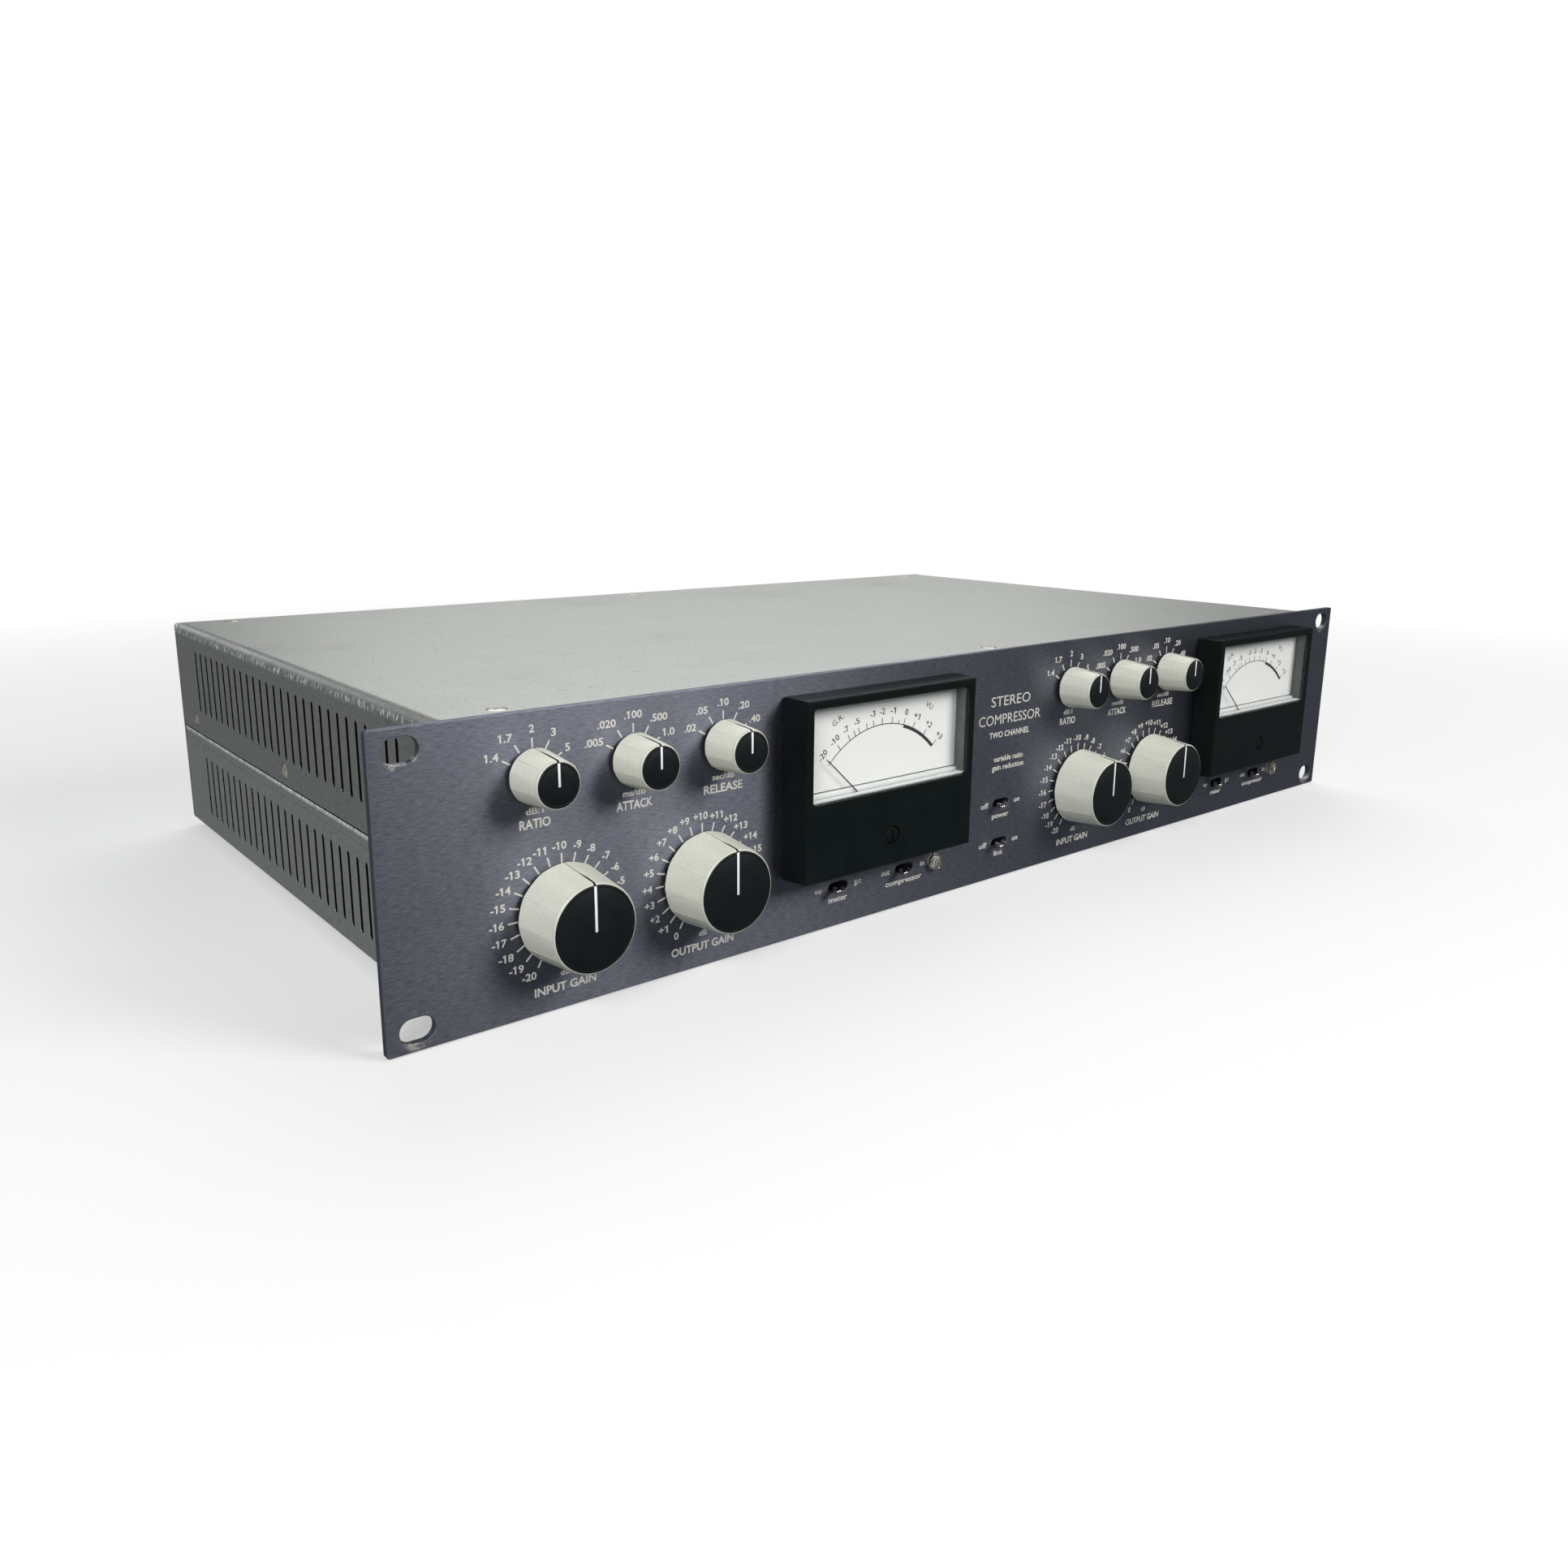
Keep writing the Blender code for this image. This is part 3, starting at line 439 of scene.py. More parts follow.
def dress(obj, material, sharp=30):
    obj.data.materials.clear()
    obj.data.materials.append(material)
    obj.data.shade_smooth()
    obj.data.set_sharp_from_angle(angle=math.radians(sharp))
    return obj


def weighted(obj):
    """Keeps the shading of large flat faces even up to their rounded edges."""
    normals = obj.modifiers.new("normals", "WEIGHTED_NORMAL")
    normals.keep_sharp = True
    normals.weight = 100
    return obj


def settle(obj, body, slot, *nodes):
    """Fixes a finished piece to its body and hides the nodes that it stands for."""
    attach(obj, body)
    if nodes:
        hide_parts(*nodes)


def fix(obj, material, slot, *nodes, sharp=30, even=False):
    """Finishes a piece that belongs to the chassis."""
    dress(obj, material, sharp)
    settle(weighted(obj) if even else obj, "chassis", slot, *nodes)


def ring_solid(name, rings, closed):
    """Closed mesh through rings of points; a ring of one point closes an end."""
    work = bmesh.new()
    made = [[work.verts.new(point) for point in ring] for ring in rings]
    pairs = list(zip(made, made[1:]))
    if closed:
        pairs.append((made[-1], made[0]))
    for first, second in pairs:
        count = max(len(first), len(second))
        for i in range(count):
            j = (i + 1) % count
            corners = [first[i % len(first)], first[j % len(first)], second[j % len(second)],
                       second[i % len(second)]]
            work.faces.new(list(dict.fromkeys(corners)))
    bmesh.ops.remove_doubles(work, verts=work.verts, dist=1e-7)
    return from_bmesh(name, work)


def from_bmesh(name, work, mesh=None):
    """Object from the working mesh with its faces turned outwards."""
    bmesh.ops.recalc_face_normals(work, faces=work.faces)
    mesh = mesh or bpy.data.meshes.new(name)
    work.to_mesh(mesh)
    work.free()
    return link(name, mesh)


def turned(name, profile, sides):
    """Solid turned about Z from (radius, height) points in millimetres."""
    rings = []
    for radius, height in profile:
        if radius == 0:
            rings.append([(0, 0, height * MM)])
        else:
            angles = [math.tau * i / sides for i in range(sides)]
            rings.append([(radius * MM * math.sin(a), radius * MM * math.cos(a), height * MM)
                          for a in angles])
    return ring_solid(name, rings, profile[0][0] > 0)


def arc(cx, cy, radius, start, end, steps):
    angles = [math.radians(start + (end - start) * i / steps) for i in range(steps + 1)]
    return [(cx + radius * math.cos(a), cy + radius * math.sin(a)) for a in angles]


def circle(cx, cy, radius, sides=48):
    return arc(cx, cy, radius, 0, 360, sides)[:-1]


def oblong(cx, cy, length, height, steps=12):
    """Slot with round ends, long side along the first axis."""
    radius = height / 2
    reach = length / 2 - radius
    return arc(cx + reach, cy, radius, -90, 90, steps) + arc(cx - reach, cy, radius, 90, 270, steps)


def round_rect(x, y, radius, steps=6):
    points = arc(x[1] - radius, y[0] + radius, radius, -90, 0, steps)
    points += arc(x[1] - radius, y[1] - radius, radius, 0, 90, steps)
    points += arc(x[0] + radius, y[1] - radius, radius, 90, 180, steps)
    points += arc(x[0] + radius, y[0] + radius, radius, 180, 270, steps)
    return points


def face_outline(low, high, radius, grow=0):
    """Outline of a box's front face, widened by grow on every side."""
    return round_rect((low.x - grow, high.x + grow), (low.z - grow, high.z + grow), radius)


def centred_rect(half_x, half_y, radius):
    """Rounded rectangle about the origin; sizes in millimetres."""
    return round_rect(mm(-half_x, half_x), mm(-half_y, half_y), radius * MM)


def flat_sheet(name, outlines, thickness, edge):
    """Sheet in the XY plane, from z = 0 up, with softened edges; inner outlines are holes."""
    curve = bpy.data.curves.new(name, "CURVE")
    curve.dimensions = "2D"
    curve.fill_mode = "BOTH"
    curve.extrude = thickness / 2 - edge
    curve.bevel_depth = edge
    curve.bevel_resolution = 2
    curve.offset = -edge
    for points in outlines:
        spline = curve.splines.new("POLY")
        spline.points.add(len(points) - 1)
        for point, (px, py) in zip(spline.points, points):
            point.co = (px, py, 0, 1)
        spline.use_cyclic_u = True
    flat = link(name, curve)
    mesh = evaluated_mesh(flat)
    removed(flat)
    work = bmesh.new()
    work.from_mesh(mesh)
    bmesh.ops.remove_doubles(work, verts=work.verts, dist=1e-7)
    bmesh.ops.translate(work, verts=work.verts, vec=(0, 0, thickness / 2))
    return from_bmesh(name, work, mesh)


def to_front(obj, x, y, z):
    """Turns the mesh's top to the front and moves it."""
    obj.data.transform(Matrix.Translation((x, y, z)) @ TO_FRONT)
    return obj


def upright(name, outlines, depths, edge):
    """Sheet parallel to the panel between two depths from (x, z) outlines."""
    return to_front(flat_sheet(name, outlines, depths[1] - depths[0], edge), 0, FRONT + depths[1], 0)


def block(name, x, y, z, edge=0, segments=3):
    mesh = bpy.data.meshes.new(name)
    work = bmesh.new()
    size = Matrix.Diagonal((x[1] - x[0], y[1] - y[0], z[1] - z[0], 1))
    middle = Matrix.Translation([(side[0] + side[1]) / 2 for side in (x, y, z)])
    bmesh.ops.create_cube(work, size=1, matrix=middle @ size)
    work.to_mesh(mesh)
    work.free()
    obj = link(name, mesh)
    return soften(obj, edge, segments) if edge else obj


def soften(obj, edge, segments=3):
    bevel = obj.modifiers.new("edges", "BEVEL")
    bevel.width = edge
    bevel.segments = segments
    bevel.limit_method = "ANGLE"
    return applied(obj)


def combine(target, tool, operation="DIFFERENCE"):
    """Boolean with a tool, which is used up."""
    modifier = target.modifiers.new("combine", "BOOLEAN")
    modifier.operation = operation
    modifier.solver = "EXACT"
    modifier.object = tool
    applied(target)
    removed(tool)
    return target


def joined(name, parts):
    """One mesh object from several, each in its own place."""
    work = bmesh.new()
    for part in parts:
        mesh = part.data.copy()
        mesh.transform(part.matrix_basis)
        work.from_mesh(mesh)
        bpy.data.meshes.remove(mesh)
        removed(part)
    mesh = bpy.data.meshes.new(name)
    work.to_mesh(mesh)
    work.free()
    return link(name, mesh)


def placed(obj, place, turn=None):
    obj.matrix_world = Matrix.Translation(place) @ (turn or Matrix.Identity(4))
    return obj


def copy_of(obj, name, place, turn=None):
    return placed(link(name, obj.data), place, turn)


# ---- printing

ADVANCES = {".": 0.28, ":": 0.28, "/": 0.28, " ": 0.28, "-": 0.33, "+": 0.58, "I": 0.28, "M": 0.83,
            "f": 0.33, "t": 0.33, "i": 0.28, "l": 0.28, "r": 0.39, "m": 0.89, "w": 0.78}
SMALL_ADVANCE, CAPITAL_ADVANCE = 0.57, 0.69
CAPITAL_EM, SMALL_EM = 1.397, 1.887
STROKE_Z = 0.01


def set_width(words):
    """Width of words in ems, set in a plain grotesque."""
    total = -0.07
    for letter in words:
        plain = SMALL_ADVANCE if letter.isdigit() or letter.islower() else CAPITAL_ADVANCE
        total += ADVANCES.get(letter, plain)
    return total - 0.12 if words.endswith("11") else total


def round_point(x, z, radius, angle):
    """Point at a clock angle round (x, z)."""
    a = math.radians(angle)
    return x + radius * math.sin(a), z + radius * math.cos(a)


class Print:
    """Lettering and lines gathered into one thin raised mesh in an upright plane."""

    BOLD = 0.022

    def __init__(self, name, thickness=0.02 * MM):
        self.name = name
        self.thickness = thickness
        self.work = bmesh.new()
        self.cap, self.small = [self.extent(letter)[1].y - self.extent(letter)[0].y for letter in "Hx"]

    def letters(self, words, bold=None):
        curve = bpy.data.curves.new("letters", "FONT")
        curve.body = words
        curve.size = 1
        curve.resolution_u = 3
        curve.offset = self.BOLD if bold is None else bold
        curve.extrude = STROKE_Z
        obj = link("letters", curve)
        mesh = evaluated_mesh(obj)
        removed(obj)
        return mesh

    def extent(self, words):
        mesh = self.letters(words)
        points = [vertex.co for vertex in mesh.vertices]
        low, high = [Vector([pick(p[i] for p in points) for i in range(3)]) for pick in (min, max)]
        bpy.data.meshes.remove(mesh)
        return low, high

    def flag_ones(self, words, mesh):
        """Adds the slanted stroke at the top of each figure 1, a hair away from the upright one."""
        work = bmesh.new()
        work.from_mesh(mesh)
        low, high = self.extent("1")
        stem = high.x - low.x + 0.003
        for i, letter in enumerate(words):
            if letter != "1":
                continue
            left = self.extent(words[:i + 1])[1].x - stem
            outline = ((0, 0), (0, -0.17), (-0.13, -0.23), (-0.13, -0.12))
            front, back = [[work.verts.new((left + x, high.y + y, z)) for x, y in outline]
                           for z in (STROKE_Z, -STROKE_Z)]
            work.faces.new(front)
            work.faces.new(back[::-1])
            for j in range(4):
                k = (j + 1) % 4
                work.faces.new((front[j], back[j], back[k], front[k]))
        work.to_mesh(mesh)
        work.free()

    def text(self, words, x, z, height, align=0.5, width=None, turn=0, lower=False, bold=None):
        """Words centred at z, their capitals (or small letters) of that height; align 0 starts at x."""
        mesh = self.letters(words, bold)
        if "1" in words:
            self.flag_ones(words, mesh)
        tall = self.small if lower else self.cap
        low = min(vertex.co.x for vertex in mesh.vertices)
        high = max(vertex.co.x for vertex in mesh.vertices)
        width = width or set_width(words) * height * (SMALL_EM if lower else CAPITAL_EM)
        shift = Matrix.Translation((-(low + (high - low) * align), -tall / 2, 0))
        size = Matrix.Diagonal((width / (high - low), height / tall, self.thickness / (2 * STROKE_Z), 1))
        turned_by = Matrix.Rotation(math.radians(-turn), 4, "Z")
        mesh.transform(Matrix.Translation((x, z, 0)) @ turned_by @ size @ shift)
        self.work.from_mesh(mesh)
        bpy.data.meshes.remove(mesh)

    def strip(self, left, right):
        """Closed strip between two lines of (x, z) points."""
        half = self.thickness / 2
        rings = []
        for p, q in zip(left, right):
            corners = ((p, half), (q, half), (q, -half), (p, -half))
            rings.append([self.work.verts.new((*point, side)) for point, side in corners])
        for first, second in zip(rings, rings[1:]):
            for i in range(4):
                j = (i + 1) % 4
                self.work.faces.new((first[i], first[j], second[j], second[i]))
        self.work.faces.new(rings[0][::-1])
        self.work.faces.new(rings[-1])

    def spoke(self, x, z, inner, outer, angle, width):
        """Radial line on a round scale."""
        ends = [Vector(round_point(x, z, radius, angle)) for radius in (inner, outer)]
        across = Vector(round_point(0, 0, width / 2, angle + 90))
        self.strip([end - across for end in ends], [end + across for end in ends])

    def band(self, x, z, inner, outer, start, end, steps=40):
        angles = [start + (end - start) * i / steps for i in range(steps + 1)]
        self.strip(*[[round_point(x, z, radius, a) for a in angles] for radius in (inner, outer)])

    def finish(self, depth, material, slot):
        """Prints onto the upright plane at that depth."""
        obj = from_bmesh(self.name, self.work)
        fix(to_front(obj, 0, FRONT + depth - self.thickness / 2, 0), material, slot)


# ---- places taken from the frame

def centre_of(pair):
    return (Vector(pair[0]) + Vector(pair[1])) / 2


def node_centre(node):
    return centre_of(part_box(node))


def knob_place(name, side):
    return PIVOTS[name + "_" + side + "_knob"]


SLOT_PLACES = [(centre_of(box).x, centre_of(box).z)
               for name, box in OPENINGS.items() if name.startswith("rack_slot")]
TOGGLES = {body[:-len("_lever")]: place for body, place in PIVOTS.items() if body.endswith("_lever")}
CASE_LOW, CASE_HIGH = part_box("top_cover")[0].copy(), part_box("top_cover")[1].copy()
CASE_LOW.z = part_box("bottom_tray")[0].z
SEAM_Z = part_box("top_cover")[0].z
CASE_FRONT = CASE_LOW.y - FRONT
CASE_BACK = CASE_HIGH.y - FRONT
CASE_HALF = CASE_HIGH.x
BOARD_FRONT = FRONT + 24 * MM


# ---- panel and its lettering

def build_panel():
    outlines = [face_outline(PANEL_LOW, PANEL_HIGH, PANEL_CORNER)]
    outlines += [oblong(x, z, *SLOT_SIZE, 16) for x, z in SLOT_PLACES]
    for name in SMALL_KNOBS + BIG_KNOBS:
        for side in SIDES:
            place = knob_place(name, side)
            outlines.append(circle(place.x, place.z, BUSH_HOLE_R, 32))
    outlines += [oblong(place.x, place.z, *TOGGLE_SLOT, 12) for place in TOGGLES.values()]
    for side in SIDES:
        lens = node_centre("lens_" + side)
        outlines.append(circle(lens.x, lens.z, LENS_HOLE_R, 32))
        outlines.append(circle(node_centre("meter_case_" + side).x, METER_BARREL_Z, BARREL_HOLE_R, 64))
    panel = upright("panel_plate", outlines, (0, PANEL_HIGH.y - FRONT), 0.2 * MM)
    fix(panel, panel_look(), "anodised_panel", "front_panel", sharp=40, even=True)


SMALL_SCALE = (-60, -30, 0, 30, 60, 90)
SMALL_LABELS = {"ratio": ("1.4", "1.7", "2", "3", "5", "8"),
                "attack": (".005", ".020", ".100", ".500", "1.0", "5"),
                "release": (".02", ".05", ".10", ".20", ".40", ".80")}
UNITS = {"ratio": "dB:1", "attack": "ms/dB", "release": "sec/dB"}
NAME_WIDTHS = {"ratio": 9.6, "attack": 12.5, "release": 14.8, "input": 20, "output": 23.8}
LABEL_SHIFTS = {("input", 15): 1, ("input", 30): 1, ("output", 15): 1.9, ("output", 30): 1,
                ("output", 45): 0.9}
SWITCH_WORDS = {"power": ("off", "on", "power", 9.5, -4.7), "link": ("off", "on", "link", 5.3, -4.2),
                "meter": ("vu", "g.r.", "meter", 8.5, -4.4),
                "bypass": ("out", "in", "compressor", 18, -4.5)}
SWITCH_WIDTHS = {"off": 4.3, "on": 3.3, "out": 4, "in": 2.2, "vu": 3, "g.r.": 3.6}


def scale_side(angle):
    """How far a label leans to the left (1) or right (0) of its tick."""
    if angle == 0:
        return 0.5
    return 1 if angle < 0 else 0


def print_small_scale(ink, name, place):
    x, z = place.x, place.z
    for angle, label in zip(SMALL_SCALE, SMALL_LABELS[name]):
        a = math.radians(angle)
        ink.spoke(x, z, 7.8 * MM, 10.5 * MM, angle, 0.5 * MM)
        ink.text(label, x + 11.6 * MM * math.sin(a), z + 13.1 * MM * math.cos(a), 2.25 * MM,
                 scale_side(angle))
    ink.text(UNITS[name], x, z - 9.9 * MM, 1.9 * MM)
    ink.text(name.upper(), x, z - 13.5 * MM, 2.7 * MM, width=NAME_WIDTHS[name] * MM)


def print_big_scale(ink, name, place):
    x, z = place.x, place.z
    for step in range(21):
        angle = -150 + 15 * step
        a = math.radians(angle)
        level = step - 20 if name == "input" else step
        label = str(level) if level <= 0 else "+" + str(level)
        reach = 18.5 * MM * math.sin(a) - LABEL_SHIFTS.get((name, angle), 0) * MM
        if angle == 0:
            reach = -0.6 * MM
        ink.spoke(x, z, 14.4 * MM, 17.3 * MM, angle, 0.5 * MM)
        ink.text(label, x + reach, z + 19.6 * MM * math.cos(a), 2.3 * MM, scale_side(angle))
    ink.text("dB", x, z - 18.2 * MM, 1.9 * MM)
    ink.text(name.upper() + " GAIN", x, z - 22.4 * MM, 2.6 * MM, width=NAME_WIDTHS[name] * MM)


def print_toggle_words(ink):
    for key, place in TOGGLES.items():
        left, right, name, width, drop = SWITCH_WORDS[key.split("_")[0]]
        for word, x in ((left, -9.2 * MM), (right, 9.2 * MM)):
            ink.text(word, place.x + x, place.z, 1.4 * MM, lower=True, width=SWITCH_WIDTHS[word] * MM)
        ink.text(name, place.x, place.z + drop * MM, 1.4 * MM, lower=True, width=width * MM)


def build_lettering():
    ink = Print("panel_lettering")
    for side in SIDES:
        for name in SMALL_KNOBS:
            print_small_scale(ink, name, knob_place(name, side))
        for name in BIG_KNOBS:
            print_big_scale(ink, name, knob_place(name, side))
    print_toggle_words(ink)
    middle = 3 * MM
    ink.text("STEREO", middle, 69 * MM, 3.9 * MM, bold=0)
    ink.text("COMPRESSOR", middle, 62.2 * MM, 3.9 * MM, width=35 * MM, bold=0)
    ink.text("TWO CHANNEL", middle, 56.3 * MM, 2.3 * MM)
    ink.text("variable ratio", middle, 46.6 * MM, 1.45 * MM, lower=True)
    ink.text("gain reduction", middle, 43.3 * MM, 1.45 * MM, lower=True)
    ink.finish(0, ink_look("panel_ink", (0.58, 0.57, 0.53), (0.38, 0.38, 0.36)), "anodised_panel")


# ---- case

def folded(name, half, root, crown, bend, holes, edge_round, inset):
    """U-shaped sheet folded from a flat one; root is the height of the free edges, crown that of the flat.

    The free edges are rounded over edge_round of their height and inset of the thickness.
    """
    sign = 1 if crown > root else -1
    wall = abs(crown - root) - bend
    turn = math.pi * bend / 2
    flat = 2 * (half - bend)
    total = 2 * (wall + turn) + flat
    outline = round_rect((0, total), (CASE_FRONT, CASE_BACK), 0.3 * MM, 2)
    obj = flat_sheet(name, [outline] + holes(total), SHEET, 0.05 * MM)
    work = bmesh.new()
    work.from_mesh(obj.data)
    cuts = [edge_round * share for share in EDGE_STEPS]
    for start in (wall, wall + turn + flat):
        cuts += [start + turn * i / 10 for i in range(11)]
    cuts += [total - cut for cut in cuts[:len(EDGE_STEPS)]]
    for cut in cuts:
        everything = work.verts[:] + work.edges[:] + work.faces[:]
        bmesh.ops.bisect_plane(work, geom=everything, plane_co=(cut, 0, 0), plane_no=(1, 0, 0))
    for vertex in work.verts:
        s, y, lift = vertex.co
        depth = SHEET - lift
        mirror = 1 if s > total / 2 else -1
        s = min(s, total - s)
        if s < edge_round:
            drop = 1 - math.sqrt(max(0, 1 - (1 - s / edge_round) ** 2))
            depth += inset * drop * lift / SHEET
        if s <= wall:
            x, rise = half - depth, s
        elif s <= wall + turn:
            a = (s - wall) / bend
            x = half - bend + (bend - depth) * math.cos(a)
            rise = wall + (bend - depth) * math.sin(a)
        else:
            x = half - bend - (s - wall - turn)
            rise = wall + bend - depth
        vertex.co = (mirror * x, FRONT + y, root + sign * rise)
    bmesh.ops.recalc_face_normals(work, faces=work.faces)
    work.to_mesh(obj.data)
    work.free()
    return obj


def louvre_holes(row, root, sign, total):
    first, pitch, low, high = row
    middle = sign * ((low + high) / 2 + PANEL_LOW.z - root)
    return [oblong(s, first + pitch * i, high - low, LOUVRE_W, 6)
            for i in range(LOUVRES) for s in (middle, total - middle)]


def build_cover():
    root, crown = SEAM_Z, CASE_HIGH.z

    def holes(total):
        up = SIDE_SCREW_Z - root
        spots = [(s, y) for y in SIDE_SCREW_Y for s in (up, total - up)]
        spots += [(total / 2 + x, y) for x in TOP_SCREW_X for y in TOP_SCREW_Y]
        screws = [circle(*spot, SCREW_R + 0.25 * MM, 24) for spot in spots]
        return louvre_holes(UPPER_ROW, root, 1, total) + screws

    cover = folded("cover_sheet", CASE_HALF, root, crown, COVER_BEND, holes, 0.4 * MM, 0.4 * MM)
    # Worn bare zinc with painted highlights: glints on the lower half of the top bend and along the lower edge.
    look = sheet_look("zinc_cover", ((crown - 2.9 * MM, 1.5 * MM), (root, 0.5 * MM)))
    fix(cover, look, "zinc_steel", "top_cover", sharp=40, even=True)


def build_tray():
    root, crown = SEAM_Z - GAP, CASE_LOW.z

    def holes(total):
        return louvre_holes(LOWER_ROW, root, -1, total)

    parts = [folded("tray_sheet", CASE_HALF, root, crown, TRAY_BEND, holes, 0.35 * MM, 0.3 * MM)]
    for mirror in (-1, 1):
        x = sorted((mirror * (CASE_HALF - SHEET - GAP), mirror * (CASE_HALF - 2 * SHEET - GAP)))
        y = (FRONT + CASE_FRONT + 1 * MM, FRONT + CASE_BACK - 1 * MM)
        parts.append(block("tray_lip", x, y, (root - 3 * MM, root + 8.8 * MM)))
    tray = joined("tray_sheet", parts)
    # Worn bare zinc with a painted highlight along the lip under the seam, painted shade of a crease below it, and
    # painted shade in the punched holes below 0.11 mm.
    look = sheet_look("zinc_tray", ((root - 0.5 * MM, 1.1 * MM),), lit=0.11 * MM, tone=1.25,
                      wear_and_glint_range=(0.38, 0.54), crease_shade=root - 4 * MM)
    fix(tray, look, "zinc_steel", "bottom_tray", sharp=40, even=True)


def screw_head(name, radius):
    """Countersunk cross-head screw, its face at z = 0."""
    r = radius / MM
    profile = [(0, 0.12), (r * 0.55, 0.1), (r * 0.85, 0.02), (r, -0.12), (r * 0.55, -1.4), (0, -1.4)]
    a, b = 0.62 * radius, 0.13 * radius
    cross = [(-a, -b), (-b, -b), (-b, -a), (b, -a), (b, -b), (a, -b),
             (a, b), (b, b), (b, a), (-b, a), (-b, b), (-a, b)]
    tool = flat_sheet("cross", [cross], 2 * MM, 0)
    tool.location.z = -0.9 * MM
    tool.rotation_euler.z = math.radians(45)
    return combine(turned(name, profile, 32), tool)


def set_screws(name, radius, spots, look):
    """Screws at (place, turn) spots, as one piece."""
    head = screw_head("screw_head", radius)
    parts = [copy_of(head, "screw", place, turn) for place, turn in spots]
    removed(head)
    fix(joined(name, parts), look, "steel")


def build_case_screws():
    spots = [((x, FRONT + y, PANEL_LOW.z + SIDE_SCREW_Z), turn)
             for y in SIDE_SCREW_Y for x, turn in ((-CASE_HALF, TO_LEFT), (CASE_HALF, TO_RIGHT))]
    spots += [((x, FRONT + y, CASE_HIGH.z), None) for x in TOP_SCREW_X for y in TOP_SCREW_Y]
    look = metal_look("screw_nickel", (0.45, 0.41, 0.34), (0.8, 0.77, 0.7), 0.28, metallic=0.7)
    set_screws("case_screws", SCREW_R, spots, look)


# ---- knobs

def facet(angle, start, share):
    """Radius factor of twelve soft flats round a knob."""
    across = (angle - start) % FACET_STEP - FACET_STEP / 2
    flat = math.cos(math.radians(FACET_STEP / 2)) / math.cos(math.radians(across))
    return 1 - share * (1 - flat)


def knob_angles(start, groove):
    """Clock angles round a shell with their kind: a fine line at each flat's edge, the groove at 0."""
    angles = []
    for i in range(12):
        edge = start + i * FACET_STEP
        if edge > 0:
            angles += [(edge - 0.9, ""), (edge, "line"), (edge + 0.9, "")]
        angles += [(edge + part, "") for part in (5, 10, 15, 20, 25)]
    angles = sorted((angle % 360, kind) for angle, kind in angles)
    angles = [entry for entry in angles if 2 * groove < entry[0] < 360 - 2 * groove]
    ends = [(360 - groove, ""), (360 - groove, "groove"), (groove, "groove")]
    return [(groove, "")] + angles + ends


def knob_shell(name, size, reach):
    """Tapered shell with soft flats, a recess for the cap and the pointer groove on top."""
    base, rim, cap = (value / MM for value in KNOB_SIZES[size])
    front, floor = (reach - RIM_BACK) / MM, (reach - RECESS) / MM
    lift, hole = KNOB_LIFT / MM, 3.3
    start = 0 if size == "big" else FACET_STEP / 2
    inner = cap + 0.1
    lip = rim - inner
    # radius, height, share of the flats, depth of the groove in radius and in height
    rows = [(hole, lift, 0, 0, 0), (base - 0.5, lift, 0, 0.5, 0), (base - 0.15, lift + 0.15, 1, 0.5, 0),
            (base, lift + 0.5, 1, 0.5, 0), (rim + 0.05, front - 1.1, 1, 0.5, 0),
            (rim - 0.04 * lip, front - 0.8, 0.4, 0.5, 0), (rim - 0.2 * lip, front - 0.55, 0, 0.5, 0.1),
            (rim - 0.5 * lip, front - 0.28, 0, 0.4, 0.3), (rim - 0.85 * lip, front - 0.05, 0, 0.2, 0.5),
            (inner, front - 0.02, 0, 0, 0.5), (inner, floor, 0, 0, 0), (hole, floor, 0, 0, 0)]
    rings = []
    for radius, height, soft, sink_r, sink_z in rows:
        ring = []
        for angle, kind in knob_angles(start, math.degrees(0.36 / base)):
            r, z = radius * facet(angle, start, FACET_SHARE * soft), height
            if kind == "groove":
                r, z = r - sink_r, z - sink_z
            elif kind == "line":
                r -= FACET_LINE * soft
            ring.append((*round_point(0, 0, r * MM, angle), z * MM))
        rings.append(ring)
    return dress(ring_solid(name, rings, True), knob_look(front * MM), 22)


def knob_cap(name, size, reach, material):
    cap, top, back = (value / MM for value in (KNOB_SIZES[size][2], reach, reach - CAP_T))
    profile = [(0, top - 0.02), (cap * 0.5, top - 0.03), (cap - 0.95, top - 0.08), (cap - 0.85, top - 0.14),
               (cap - 0.72, top - 0.14), (cap - 0.62, top - 0.09), (cap - 0.28, top - 0.12),
               (cap - 0.08, top - 0.24), (cap, top - 0.45), (cap, back), (0, back)]
    return dress(turned(name, profile, 96), material, 50)


def pointer_line(name, size, reach, material):
    """Inlaid white line from the cap's edge to just past its middle."""
    cap = KNOB_SIZES[size][2]
    half = 0.42 * MM if size == "big" else 0.36 * MM
    along = (-0.06 * cap, cap - 0.12 * MM)
    return dress(block(name, (-half, half), along, (reach - 0.5 * MM, reach), 0.06 * MM, 2), material)


